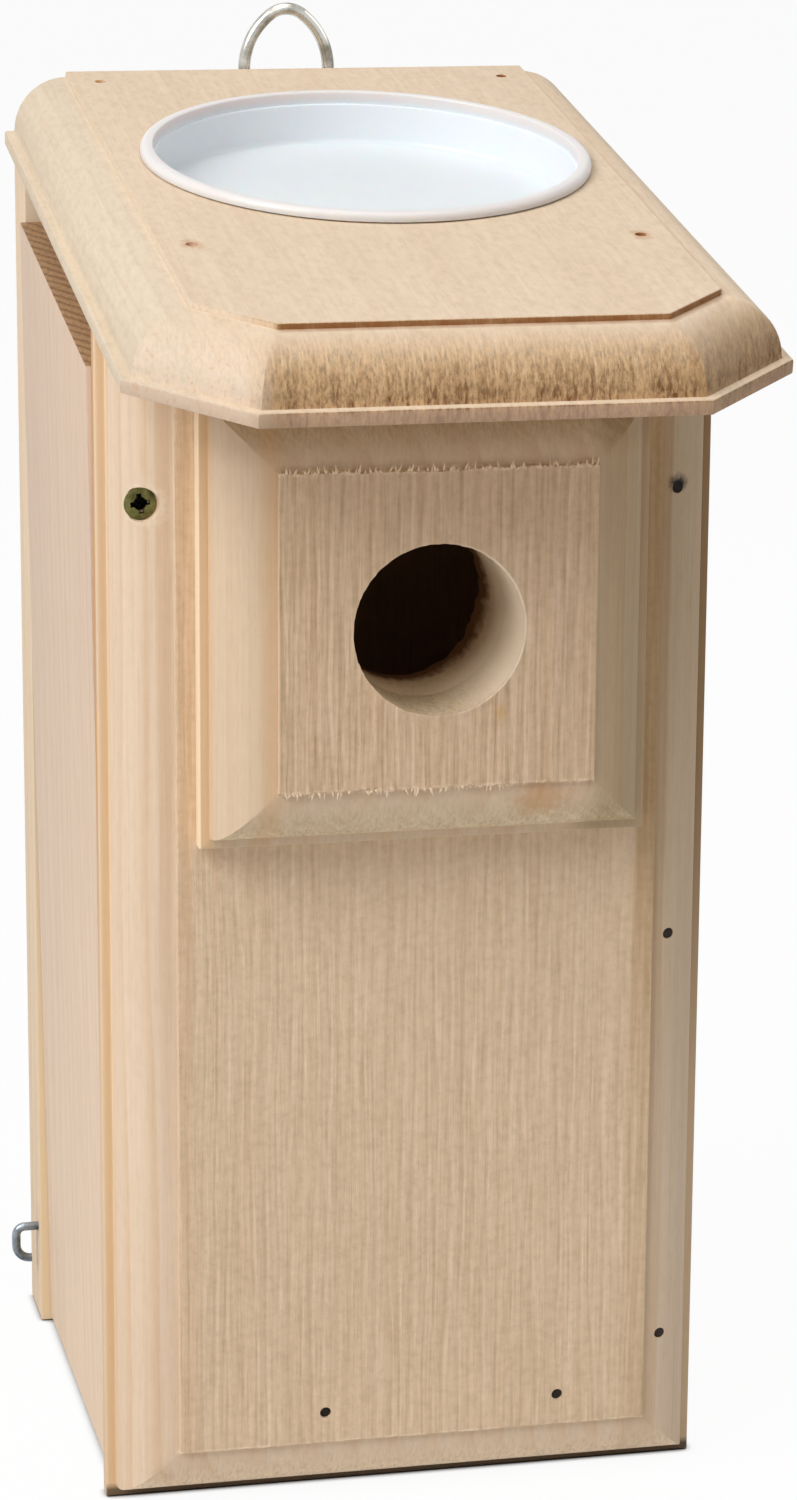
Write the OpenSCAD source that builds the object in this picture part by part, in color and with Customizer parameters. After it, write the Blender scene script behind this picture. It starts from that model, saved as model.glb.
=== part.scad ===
/* [Box body] */
// thickness of the front, side, back and floor boards
board_t = 19; // [16:0.5:25]
// width across the front board
body_w = 140; // [126:1:180]
// depth from the face of the front board to the rear of the back board
body_d = 145.5; // [125:0.5:200]
// height of the front board's face, up to the underside of the roof
body_h = 274; // [262:1:340]
// gap over each side board that airs the box
vent_gap = 13; // [6:0.5:20]
// height of the floor's underside over the bottom edges
floor_lift = 13; // [4:0.5:25]
// diameter of the drain holes in the floor
drain_d = 8; // [4:0.5:12]
// distance of the drain holes from the floor's edges
drain_inset = 14; // [9:0.5:24]

/* [Router profile] */
// radius of the quarter round
ovolo_r = 12.7; // [8:0.1:13]
// small step between the raised face and the quarter round
ovolo_step = 1.3; // [0.5:0.1:2]
// width of the flat ledge outside the quarter round
ledge_w = 2.4; // [1:0.1:5]

/* [Entrance] */
// diameter of the entrance hole
hole_d = 38.1; // [28:0.1:45]
// height of the hole's centre over the bottom edge
hole_z = 210.5; // [196:0.5:212]
// side of the square guard block
guard_w = 101; // [90:0.5:110]
// thickness of the guard block
guard_t = 19; // [16:0.5:25]
// number of saw kerfs inside, for the young birds to climb
kerf_n = 5; // [0:1:8]
// distance of the top kerf under the hole
kerf_start = 14; // [8:0.5:20]
// width of a kerf
kerf_w = 3; // [1.5:0.1:4]
// depth of a kerf
kerf_depth = 2.5; // [1:0.1:4]
// distance from kerf to kerf
kerf_pitch = 14; // [8:0.5:16]
// radius of the saw blade that cut them
blade_r = 92; // [60:1:120]

/* [Roof] */
// slope of the roof, falling to the front
roof_slope = 9.75; // [4:0.05:14]
// width across the roof
roof_w = 144.5; // [142:0.5:150]
// thickness of the roof board
roof_t = 17.3; // [16.6:0.1:22]
// how far the roof reaches in front of the front board
roof_front = 62; // [45:0.5:90]
// length cut off each front corner, along each edge
roof_clip = 24.5; // [12:0.5:32]
// distance of the roof's front nails behind the face of the front board
roof_nail_in = 4.5; // [3:0.1:12]

/* [Door] */
// gap between the door and the boards in front of and behind it
door_gap = 0.5; // [0.3:0.1:1.5]
// distance of the pivot screws from the box's left side
pivot_in = 8.4; // [8:0.1:10]
// height of the pivot screws over the bottom edge
pivot_z = 236; // [226:0.5:240]
// how far the door stands out at the height of its pivot
door_proud = 0.8; // [0:0.1:1.5]
// angle at which the closed door rests, its foot slightly inside
door_lean = 0.78; // [0:0.01:1]
// gap under the door
door_foot = 1.2; // [0.8:0.1:4]

/* [Feeder dish] */
// outer diameter over the dish's rim
dish_d = 104; // [80:0.1:106]
// width of the rim, flat with a rounded outer edge
rim_w = 3; // [2.6:0.1:3.6]
// height of the rim over the roof
rim_h = 2.4; // [2:0.1:3.2]
// depth inside the dish, from the top of its rim
dish_depth = 12.2; // [8:0.1:12.4]
// thickness of the dish's wall and floor
dish_wall = 1.3; // [1:0.1:1.5]
// radius inside, between the wall and the floor
dish_fillet = 1.2; // [0.8:0.1:3]
// depth of the small step inside the dish, from the top of its rim
dish_step_z = 3; // [2.8:0.1:3.6]
// width of the small step inside the dish
dish_step_w = 0.4; // [0.2:0.1:0.5]
// how much the dish's inside narrows to its floor, at the radius
dish_draft = 0.7; // [0.6:0.1:2]
// distance of the dish's centre from the front edge, along the roof
dish_s = 133.7; // [120:0.1:140]
// distance of the dish's centre from the middle of the roof
dish_x = 1.3; // [-3:0.1:3]

/* [Hanger] */
// thickness of the hanger's wire
hanger_wire_d = 3; // [2:0.1:4]
// outer width of the loop
hanger_w = 24; // [20:0.5:30]
// height of the loop over the roof's rear edge
hanger_h = 16; // [14:0.1:20]
// distance of the loop from the middle of the box
hanger_x = -2; // [-6:0.1:6]
// length of the legs under the roof's rear edge
hanger_leg = 52; // [40:1:90]
// radius of the eyes at the legs' ends, to the middle of the wire
hanger_eye_r = 4.2; // [4:0.1:6]

/* [Latch hook] */
// thickness of the hook's wire
hook_wire_d = 2.2; // [1.5:0.1:2.4]
// how far the hook stands out from the box
hook_out = 6.8; // [5.5:0.1:7.2]
// length of the hook over its bends
hook_len = 10.7; // [9.6:0.1:12]
// height of the hook's shank over the bottom edge
hook_z = 24.1; // [18:0.1:40]
// distance of the shank from the joint between door and back board
hook_set = 4.5; // [3.5:0.1:5]
// depth of the shank in the back board
hook_bite = 14; // [8:0.5:20]

/* [Screws and nails] */
// diameter of the pivot screws' heads
screw_head_d = 7.2; // [6.6:0.1:8.4]
// diameter of the pivot screws' shanks
screw_d = 3.6; // [3:0.1:4.2]
// length of the pivot screws
screw_len = 32; // [28:1:38]
// depth of the front screw's head under the board's face
screw_sink = 5; // [4:0.1:6]
// diameter of the hanger screws' heads
pan_d = 7.6; // [7:0.1:9]
// diameter of the hanger screws' shanks
pan_shank_d = 3.6; // [3:0.1:4.4]
// length of the hanger screws under their heads
pan_len = 17; // [12:0.5:19]
// diameter of the nails' heads
nail_head_d = 2.6; // [2.2:0.1:3.4]
// diameter of the nails' shanks
nail_d = 1.8; // [1.4:0.1:2]
// length of the nails
nail_len = 38; // [32:1:50]
// depth of the nails' heads under the surface
nail_sink = 0.8; // [0.3:0.1:1.5]

/* [Hidden] */

// the origin lies on the rear face of the back board, this far over the bottom edge
origin_h = 150;
// an overshoot for cuts
over = 2;
// clearance round a nail or a screw in its own boards
snug = 0.03;
// running clearance round the pivot screws and the hook's shank
run = 0.08;
// gap between curved parts that only rest on each other
seat = 0.3;
half_w = body_w / 2;
profile_h = ovolo_step + ovolo_r;
profile_w = ledge_w + ovolo_r;
front_y = -body_d;
front_in = -body_d + board_t;
back_in = -board_t;
side_len = body_d - 2 * board_t;
side_in = half_w - board_t;
// front lower edge of the roof, where its slope starts
eave_y = front_y - roof_front;
eave_z = body_h - roof_front * tan(roof_slope);
roof_len = (body_d + roof_front) / cos(roof_slope) + roof_t + 1;
roof_back_z = eave_z + (body_d + roof_front) * tan(roof_slope) + roof_t / cos(roof_slope);
// door, drawn upright and then turned about its pivot
pivot_x = -half_w + pivot_in;
door_out_x = -half_w - door_proud;
door_in_x = door_out_x + board_t;
door_y0 = front_in + door_gap;
door_len = side_len - 2 * door_gap;
// the floor ends just short of the leaning door
floor_x0 = pivot_x + (door_in_x - pivot_x) * cos(door_lean) + (pivot_z - floor_lift) * sin(door_lean) + 0.4;
floor_top = floor_lift + board_t;
guard_z0 = hole_z - guard_w / 2;
kerf_top = hole_z - hole_d / 2 - kerf_start;
// dish
rim_r = rim_w / 2;
rim_mid = dish_d / 2 - rim_r;
dish_in_r = dish_d / 2 - rim_w;
dish_out_r = dish_in_r + dish_wall;
dish_floor = rim_h - dish_depth;
dish_under = dish_floor - dish_wall;
recess_r = dish_out_r + 0.4;
recess_depth = -dish_under + seat;
// hanger
hang_r = hanger_wire_d / 2;
hang_a = hanger_w / 2 - hang_r;
hang_b = hanger_h - hang_r;
// the loop is an oval of three bends, joined on the slope of a 3-4-5 triangle
hang_d = (hang_b - hang_a) / 0.4;
hang_e = 0.6 * hang_d;
hang_side_r = hang_a + hang_e;
hang_top_r = hang_side_r - hang_d;
hang_turn = atan(4 / 3);
// each eye stops just short of its leg
hang_eye_turn = 270 + asin(1 - (hanger_wire_d + 0.4) / hanger_eye_r);
hang_y = hang_r + 0.1;
hang_eye_z = roof_back_z - hanger_leg;
hang_screw_x = hang_a + hanger_eye_r;
// hook
hook_r = hook_wire_d / 2;
hook_bend = hook_wire_d;
hook_x = -half_w - hook_out + hook_r;
hook_y = back_in + hook_set;
hook_drop = hook_len - hook_wire_d;
// the hook's tip stops this far short of the door's plane
hook_tip_gap = 1.8;
hook_low_bend = hook_out - hook_r - hook_tip_gap - 0.4;
// screws
cone_h = (screw_head_d - screw_d) / 2;
// nail places
side_nail_x = half_w - board_t * 0.58;
side_nail_z = [35, 132.5, 236];
floor_nail_x = [-21, 34];
floor_nail_z = floor_lift + board_t / 2;
roof_nail_x = 50;
back_floor_x = [-26, 26];
side_floor_inset = 28;
side_floor_y = [front_in + side_floor_inset, back_in - side_floor_inset];

// shared helpers

module placed() {
  translate([0, 0, -origin_h])
    children();
}

// waste of the router profile, edge at x = 0, ledge at y = 0, wood towards +x
module ovolo_waste() {
  difference() {
    translate([-over, -over])
      square([profile_w + over, profile_h + 2 * over]);
    translate([profile_w, 0])
      circle(ovolo_r, $fn = 96);
  }
}

// the same waste along an edge of length len on the X axis, wood towards +Y
module edge_waste(len) {
  rotate([90, 0, 90])
    translate([0, 0, -len / 2])
      linear_extrude(len)
        ovolo_waste();
}

// board w wide and h high, from y = 0 (rear) to y = -t (face), routed on three or four edges
module routed_board(w, h, t, with_top) {
  rotate([90, 0, 0]) {
    translate([-w / 2, 0, 0])
      cube([w, h, t - profile_h]);
    translate([0, 0, t - profile_h])
      difference() {
        translate([-w / 2, 0, 0])
          cube([w, h, profile_h]);
        edge_waste(w + 4 * over);
        translate([-w / 2, h / 2, 0])
          rotate([0, 0, -90])
            edge_waste(h + 4 * over);
        translate([w / 2, h / 2, 0])
          rotate([0, 0, 90])
            edge_waste(h + 4 * over);
        if (with_top)
          translate([0, h, 0])
            rotate([0, 0, 180])
              edge_waste(w + 4 * over);
      }
  }
}

// everything over the roof's underside, lowered by drop
module above_roof_line(drop) {
  translate([0, eave_y, eave_z - drop])
    rotate([roof_slope, 0, 0])
      translate([-body_w, -body_d, 0])
        cube([2 * body_w, 4 * body_d, 2 * body_h]);
}

// carries drawings made on the roof: x across, y up the slope, z out of its top face
module on_roof() {
  translate([0, eave_y, eave_z])
    rotate([roof_slope, 0, 0])
      translate([0, 0, roof_t])
        children();
}

// a nail along -Z from the surface at z = 0, or with grow > 0 its hole
module nail(grow) {
  r_head = nail_head_d / 2 + grow;
  r_shank = nail_d / 2 + grow;
  out = grow > 0 ? nail_sink + over : 0;
  translate([0, 0, -nail_sink - 1.2 - grow])
    cylinder(h = 1.2 + grow + out, r = r_head, $fn = 32);
  translate([0, 0, -nail_sink - nail_len + nail_d])
    cylinder(h = nail_len - nail_d - 1, r = r_shank, $fn = 32);
  translate([0, 0, -nail_sink - nail_len - grow])
    cylinder(h = nail_d + grow, r1 = grow > 0 ? r_shank : 0.3, r2 = r_shank, $fn = 32);
}

module front_side_nail_set(grow) {
  for (z = side_nail_z)
    translate([side_nail_x, front_y + ovolo_step + 0.6, z])
      rotate([90, 0, 0])
        nail(grow);
}

module front_floor_nail_set(grow) {
  for (x = floor_nail_x)
    translate([x, front_y, floor_nail_z])
      rotate([90, 0, 0])
        nail(grow);
}

module back_side_nail_set(grow) {
  for (z = side_nail_z)
    translate([side_nail_x, 0, z])
      rotate([-90, 0, 0])
        nail(grow);
}

module back_floor_nail_set(grow) {
  for (x = back_floor_x)
    translate([x, 0, floor_nail_z])
      rotate([-90, 0, 0])
        nail(grow);
}

module side_floor_nail_set(grow) {
  for (y = side_floor_y)
    translate([half_w, y, floor_nail_z])
      rotate([0, 90, 0])
        nail(grow);
}

// nails straight down through the roof, x to each side, at depth y of the board under it
module roof_nail_set(y, grow) {
  for (x = [-roof_nail_x, roof_nail_x])
    translate([x, y, eave_z + (y - eave_y) * tan(roof_slope) + roof_t / cos(roof_slope)])
      nail(grow);
}

// countersunk screw along +Y, top of its head at y = 0, or with grow > 0 its hole
module flat_screw(grow) {
  r_head = screw_head_d / 2;
  r_shank = screw_d / 2;
  rotate([-90, 0, 0]) {
    translate([0, 0, grow])
      cylinder(h = cone_h, r1 = r_head, r2 = r_shank, $fn = 48);
    cylinder(h = cone_h + 1, r = r_shank + grow, $fn = 48);
    translate([0, 0, cone_h])
      cylinder(h = screw_len - cone_h - screw_d, r = r_shank + grow, $fn = 48);
    translate([0, 0, screw_len - screw_d - 0.01])
      cylinder(h = screw_d, r1 = r_shank + grow, r2 = 0.4, $fn = 48);
  }
}

// cross recess in a screw's head, sunk along +Y from y = 0
module cross_recess(size, deep) {
  for (a = [0, 90])
    rotate([0, a, 0])
      translate([-size / 2, -over, -size * 0.13])
        cube([size, deep + over, size * 0.26]);
  rotate([-90, 0, 0])
    cylinder(h = deep + 0.4, r1 = size * 0.34, r2 = 0.3, $fn = 24);
}

// a torus arc of wire in the X-Z plane, from angle a by turn degrees
module wire_arc(r, wire_r, a, turn) {
  rotate([90, 0, 0])
    rotate([0, 0, a])
      rotate_extrude(angle = turn, $fn = 72)
        translate([r, 0])
          circle(wire_r, $fn = 24);
}

// boards of the box

module front_board() {
  color([0.80, 0.69, 0.54])
    difference() {
      translate([0, front_in, 0])
        routed_board(body_w, body_h + board_t, board_t, false);
      above_roof_line(0);
      translate([0, front_y - over, hole_z])
        rotate([-90, 0, 0])
          cylinder(h = board_t + 2 * over, d = hole_d, $fn = 96);
      for (i = [0 : 1 : kerf_n - 1])
        translate([0, front_in - kerf_depth + blade_r, kerf_top - i * kerf_pitch - kerf_w / 2])
          cylinder(h = kerf_w, r = blade_r, $fn = 180);
      // seat and pocket of the front pivot screw
      translate([pivot_x, front_y + screw_sink, pivot_z]) {
        rotate([90, 0, 0])
          cylinder(h = screw_sink + over, r = screw_head_d / 2 + seat, $fn = 48);
        rotate([-90, 0, 0])
          cylinder(h = cone_h + seat, r1 = screw_head_d / 2 + seat, r2 = screw_d / 2, $fn = 48);
        rotate([-90, 0, 0])
          cylinder(h = board_t, r = screw_d / 2 + run, $fn = 48);
      }
      front_side_nail_set(snug);
      front_floor_nail_set(snug);
      roof_nail_set(front_y + roof_nail_in, snug);
    }
}

module hole_guard() {
  color([0.82, 0.71, 0.56])
    difference() {
      translate([0, front_y, guard_z0])
        routed_board(guard_w, guard_w, guard_t, true);
      translate([0, front_y - guard_t - over, hole_z])
        rotate([-90, 0, 0])
          cylinder(h = guard_t + 2 * over, d = hole_d, $fn = 96);
    }
}

module back_board() {
  color([0.86, 0.76, 0.62])
    difference() {
      translate([-half_w, back_in, 0])
        cube([body_w, board_t, body_h + body_d]);
      above_roof_line(0);
      // seat of the rear pivot screw, flush with the board
      translate([pivot_x, 0, pivot_z]) {
        rotate([90, 0, 0])
          cylinder(h = cone_h + seat, r1 = screw_head_d / 2 + seat, r2 = screw_d / 2, $fn = 48);
        rotate([90, 0, 0])
          cylinder(h = board_t + over, r = screw_d / 2 + run, $fn = 48);
      }
      hook_shank(run);
      hanger_screw_set(snug);
      back_side_nail_set(snug);
      back_floor_nail_set(snug);
      roof_nail_set(-board_t / 2, snug);
    }
}

module side_panel() {
  color([0.85, 0.77, 0.68])
    difference() {
      translate([side_in, front_in, 0])
        cube([board_t, side_len, body_h + body_d]);
      above_roof_line(vent_gap);
      front_side_nail_set(snug);
      back_side_nail_set(snug);
      side_floor_nail_set(snug);
    }
}

module floor_board() {
  color([0.83, 0.73, 0.58])
    difference() {
      translate([floor_x0, front_in, floor_lift])
        cube([side_in - floor_x0, side_len, board_t]);
      for (x = [floor_x0 + drain_inset, side_in - drain_inset])
        for (y = [front_in + drain_inset, back_in - drain_inset])
          translate([x, y, floor_lift - over])
            cylinder(h = board_t + 2 * over, d = drain_d, $fn = 32);
      front_floor_nail_set(snug);
      back_floor_nail_set(snug);
      side_floor_nail_set(snug);
    }
}

module roof_outline() {
  polygon([
    [-roof_w / 2, roof_clip],
    [-roof_w / 2 + roof_clip, 0],
    [roof_w / 2 - roof_clip, 0],
    [roof_w / 2, roof_clip],
    [roof_w / 2, roof_len],
    [-roof_w / 2, roof_len]
  ]);
}

// the roof's upper layer, with its routed sides, front and clipped corners
module roof_crown() {
  difference() {
    linear_extrude(profile_h)
      roof_outline();
    edge_waste(2 * roof_w);
    for (side = [-1, 1]) {
      translate([side * roof_w / 2, roof_len / 2, 0])
        rotate([0, 0, side * 90])
          edge_waste(2 * roof_len);
      translate([side * (roof_w - roof_clip) / 2, roof_clip / 2, 0])
        rotate([0, 0, side * 45])
          edge_waste(2 * roof_w);
    }
  }
}

module roof_board() {
  color([0.90, 0.82, 0.70])
    difference() {
      on_roof()
        difference() {
          union() {
            translate([0, 0, -roof_t])
              linear_extrude(roof_t - profile_h)
                roof_outline();
            translate([0, 0, -profile_h])
              roof_crown();
          }
          translate([dish_x, dish_s, -recess_depth])
            cylinder(h = recess_depth + over, r = recess_r, $fn = 120);
        }
      // plumb cut, flush with the back board
      translate([-roof_w, 0, 0])
        cube([2 * roof_w, body_d, 3 * body_h]);
      roof_nail_set(front_y + roof_nail_in, snug);
      roof_nail_set(-board_t / 2, snug);
    }
}

// side door with its two pivot screws

module door_panel() {
  color([0.87, 0.79, 0.71])
    translate([pivot_x, 0, pivot_z])
      rotate([0, -door_lean, 0])
        translate([-pivot_x, 0, -pivot_z])
          difference() {
            translate([door_out_x, door_y0, door_foot])
              cube([board_t, door_len, body_h + body_d]);
            above_roof_line(vent_gap);
            pivot_screw_at_front(snug);
            pivot_screw_at_back(snug);
          }
}

module pivot_screw_at_front(grow) {
  translate([pivot_x, front_y + screw_sink, pivot_z])
    flat_screw(grow);
}

module pivot_screw_at_back(grow) {
  translate([pivot_x, 0, pivot_z])
    rotate([0, 0, 180])
      translate([0, seat / 2, 0])
        flat_screw(grow);
}

module pivot_screw_front() {
  color([0.55, 0.50, 0.34])
    difference() {
      pivot_screw_at_front(0);
      translate([pivot_x, front_y + screw_sink, pivot_z])
        rotate([0, -8, 0])
          cross_recess(4.4, 2);
    }
}

module pivot_screw_rear() {
  color([0.55, 0.50, 0.34])
    difference() {
      pivot_screw_at_back(0);
      translate([pivot_x, -seat / 2, pivot_z])
        rotate([0, 0, 180])
          cross_recess(4.4, 2);
    }
}

// feeder dish, drawn on the roof

module dish_hollow() {
  translate([0, dish_floor])
    square([dish_in_r - dish_draft - dish_fillet, dish_depth + over]);
  translate([dish_in_r - dish_draft - dish_fillet, dish_floor + dish_fillet])
    circle(dish_fillet, $fn = 48);
  polygon([
    [0, dish_floor + dish_fillet],
    [dish_in_r - dish_draft, dish_floor + dish_fillet],
    [dish_in_r - dish_step_w, rim_h - dish_step_z],
    [dish_in_r, rim_h - dish_step_z],
    [dish_in_r, rim_h - 0.3],
    [dish_in_r + 0.3 + over, rim_h + over],
    [0, rim_h + over]
  ]);
}

module feeder_dish() {
  color([0.91, 0.93, 0.95])
    on_roof()
      translate([dish_x, dish_s, 0])
        rotate_extrude($fn = 120) {
          difference() {
            polygon([
              [0, dish_under],
              [dish_out_r - dish_draft - 1.2, dish_under],
              [dish_out_r - dish_draft, dish_under + 1.2],
              [dish_out_r, seat],
              [dish_out_r, seat + 0.2],
              [rim_mid, seat + 0.2],
              [rim_mid, rim_h],
              [0, rim_h]
            ]);
            dish_hollow();
          }
          translate([dish_out_r - 0.3, seat])
            square([dish_d / 2 - dish_out_r + 0.3, rim_h - rim_r - seat]);
          intersection() {
            translate([rim_mid, rim_h - rim_r])
              circle(rim_r, $fn = 48);
            translate([rim_mid, rim_h - rim_r])
              square([rim_r + over, rim_r + over]);
          }
        }
}

// wire hanger behind the roof's rear edge

module hanger_wire() {
  color([0.70, 0.71, 0.72])
    translate([hanger_x, hang_y, roof_back_z]) {
      translate([0, 0, hang_b - hang_top_r])
        wire_arc(hang_top_r, hang_r, hang_turn, 180 - 2 * hang_turn);
      // the bends meet in a slightly fuller spot of the wire
      for (side = [-1, 1])
        translate([side * hang_top_r * 0.6, 0, hang_b - hang_top_r + hang_top_r * 0.8])
          sphere(hang_r + 0.03, $fn = 48);
      for (m = [0, 1])
        mirror([m, 0, 0]) {
          translate([-hang_e, 0, 0])
            wire_arc(hang_side_r, hang_r, 0, hang_turn);
          translate([hang_a, 0, -hanger_leg])
            cylinder(h = hanger_leg, r = hang_r, $fn = 24);
          translate([hang_screw_x, 0, -hanger_leg])
            wire_arc(hanger_eye_r, hang_r, 180, hang_eye_turn);
        }
    }
}

// pan-head screws through the two eyes, or with grow > 0 their holes
module hanger_screw_set(grow) {
  for (side = [-1, 1])
    translate([hanger_x + side * hang_screw_x, hang_y + hang_r + 0.05, hang_eye_z])
      rotate([90, 0, 0]) {
        translate([0, 0, -0.01])
          cylinder(h = pan_len - 2, r = pan_shank_d / 2 + grow, $fn = 32);
        translate([0, 0, pan_len - 2.01])
          cylinder(h = 2, r1 = pan_shank_d / 2 + grow, r2 = 0.4, $fn = 32);
      }
}

module hanger_screws() {
  color([0.74, 0.74, 0.74])
    difference() {
      union() {
        hanger_screw_set(0);
        for (side = [-1, 1])
          translate([hanger_x + side * hang_screw_x, hang_y + hang_r + 0.05, hang_eye_z])
            rotate([-90, 0, 0]) {
              cylinder(h = 1.4, d = pan_d, $fn = 48);
              translate([0, 0, 1.39])
                cylinder(h = 0.9, r1 = pan_d / 2, r2 = pan_d / 2 - 1.2, $fn = 48);
            }
      }
      for (side = [-1, 1])
        translate([hanger_x + side * hang_screw_x, hang_y + hang_r + 0.05 + 2.29, hang_eye_z])
          rotate([0, 0, 180])
            cross_recess(4, 1.4);
    }
}

// turning hook that holds the door shut

module hook_shank(grow) {
  translate([-half_w - over, hook_y, hook_z])
    rotate([0, 90, 0]) {
      cylinder(h = hook_bite + over - 3, r = hook_r + grow, $fn = 24);
      translate([0, 0, hook_bite + over - 3.01])
        cylinder(h = 3, r1 = hook_r + grow, r2 = 0.3, $fn = 24);
    }
}

module latch_hook() {
  color([0.62, 0.65, 0.68]) {
    difference() {
      hook_shank(0);
      translate([-half_w - over - hook_len, hook_y - hook_len / 2, hook_z - hook_len / 2])
        cube([hook_len + over / 2, hook_len, hook_len]);
    }
    translate([hook_x + hook_bend, hook_y, hook_z])
      rotate([0, 90, 0])
        cylinder(h = hook_out - hook_r - hook_bend, r = hook_r, $fn = 24);
    translate([hook_x + hook_bend, hook_y, hook_z - hook_bend])
      wire_arc(hook_bend, hook_r, 90, 90);
    translate([hook_x, hook_y, hook_z - hook_drop + hook_low_bend])
      cylinder(h = hook_drop - hook_bend - hook_low_bend, r = hook_r, $fn = 24);
    translate([hook_x + hook_low_bend, hook_y, hook_z - hook_drop + hook_low_bend])
      wire_arc(hook_low_bend, hook_r, 180, 90);
    translate([hook_x + hook_low_bend, hook_y, hook_z - hook_drop])
      rotate([0, 90, 0])
        cylinder(h = hook_out - hook_r - hook_low_bend - hook_tip_gap, r = hook_r, $fn = 24);
  }
}

// nails

module front_side_nails() {
  color([0.45, 0.36, 0.27])
    front_side_nail_set(0);
}

module front_floor_nails() {
  color([0.45, 0.36, 0.27])
    front_floor_nail_set(0);
}

module back_side_nails() {
  color([0.45, 0.36, 0.27])
    back_side_nail_set(0);
}

module back_floor_nails() {
  color([0.45, 0.36, 0.27])
    back_floor_nail_set(0);
}

module side_floor_nails() {
  color([0.45, 0.36, 0.27])
    side_floor_nail_set(0);
}

module roof_front_nails() {
  color([0.45, 0.36, 0.27])
    roof_nail_set(front_y + roof_nail_in, 0);
}

module roof_back_nails() {
  color([0.45, 0.36, 0.27])
    roof_nail_set(-board_t / 2, 0);
}

placed() front_board();
placed() hole_guard();
placed() back_board();
placed() side_panel();
placed() floor_board();
placed() roof_board();
placed() door_panel();
placed() feeder_dish();
placed() hanger_wire();
placed() hanger_screws();
placed() pivot_screw_front();
placed() pivot_screw_rear();
placed() latch_hook();
placed() front_side_nails();
placed() front_floor_nails();
placed() back_side_nails();
placed() back_floor_nails();
placed() side_floor_nails();
placed() roof_front_nails();
placed() roof_back_nails();
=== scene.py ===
"""Looks of the bluebird nest box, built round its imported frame.

Boards, dish and timber are worked out in millimetres; metals, lamps and camera are in metres.
"""
import math

import bmesh
import bpy
import numpy as np
from mathutils import Matrix, Vector


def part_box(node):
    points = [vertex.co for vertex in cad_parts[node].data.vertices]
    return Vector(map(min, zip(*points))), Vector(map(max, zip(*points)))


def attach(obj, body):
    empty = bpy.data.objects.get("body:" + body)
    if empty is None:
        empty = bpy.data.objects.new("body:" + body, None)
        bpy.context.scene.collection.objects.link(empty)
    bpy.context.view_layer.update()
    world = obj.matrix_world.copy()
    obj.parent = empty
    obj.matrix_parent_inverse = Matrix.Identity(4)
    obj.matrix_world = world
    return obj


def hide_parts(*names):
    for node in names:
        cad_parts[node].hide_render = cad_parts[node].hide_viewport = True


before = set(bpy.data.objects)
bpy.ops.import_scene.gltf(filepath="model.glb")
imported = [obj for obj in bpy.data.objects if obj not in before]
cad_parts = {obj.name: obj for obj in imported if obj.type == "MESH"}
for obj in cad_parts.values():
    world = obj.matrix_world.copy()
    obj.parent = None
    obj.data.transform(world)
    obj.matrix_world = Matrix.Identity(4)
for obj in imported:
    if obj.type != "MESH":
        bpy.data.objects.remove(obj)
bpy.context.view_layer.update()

# sizes of the part, in mm, with z = 0 at the frame's origin
BOTTOM = -150.0
HALF_W = 70.0
FRONT_Y = -145.5
BOARD = 19.0
FRONT_IN = FRONT_Y + BOARD
BACK_IN = -BOARD
HOLE_R = 19.05
HOLE_Z = 60.5
GUARD_W = 101.0
SLOPE = math.radians(9.75)
TAN, COS, SIN = math.tan(SLOPE), math.cos(SLOPE), math.sin(SLOPE)
FRONT_TOP = 124.0
ROOF_FRONT = 62.0
EAVE_Y = FRONT_Y - ROOF_FRONT
EAVE_Z = FRONT_TOP - ROOF_FRONT * TAN
ROOF_W = 144.5
ROOF_T = 17.3
ROOF_CLIP = 24.5
DISH_X, DISH_S = 1.3, 133.7
DISH_R, DISH_RIM_W, DISH_RIM_H, DISH_DEPTH, DISH_WALL = 52.0, 3.0, 2.4, 12.2, 1.3
RECESS_R = 50.7
LEDGE_W = 2.4
ROUND_R = 12.7
STEP = 1.3
PROFILE_H = ROUND_R + STEP
PROFILE_W = LEDGE_W + ROUND_R
PIVOT_X, PIVOT_Z = -61.6, 86.0
SCREW_HEAD_R, SCREW_R = 3.9, 1.88
KERF_N, KERF_START, KERF_PITCH, KERF_W, KERF_DEPTH, BLADE_R = 5, 14.0, 14.0, 3.0, 2.5, 92.0
FLOOR_LIFT = 13.0
DRAIN_R, DRAIN_INSET = 4.0, 14.0
DOOR_GAP, DOOR_PROUD, DOOR_FOOT = 0.5, 0.8, 1.2
# minus the height of the roof's face over the origin, square to the face
ROOF_FACE = -(EAVE_Z * COS - EAVE_Y * SIN + ROOF_T)
DOOR_LEAN = math.radians(0.78)
VENT = 13.0
# nails: radius of a head, radius and depth of its hole, and their places
NAIL_HEAD_R, NAIL_R, NAIL_DEEP = 1.3, 1.33, 2.05
SIDE_NAILS_X = 58.98
SIDE_NAILS_Z = [BOTTOM + z for z in (35, 132.5, 236)]
FLOOR_NAILS_Z = BOTTOM + FLOOR_LIFT + BOARD / 2
FRONT_FLOOR_NAILS_X, BACK_FLOOR_NAILS_X, SIDE_FLOOR_NAILS_Y = (-21, 34), (-26, 26), (-100, -47)
ROOF_NAILS_X, ROOF_NAILS_Y = (-50, 50), (FRONT_Y + 4.5, -BOARD / 2)
# width of one rib of the saw marks
SAW_PITCH = 2.85


# meshes


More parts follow.
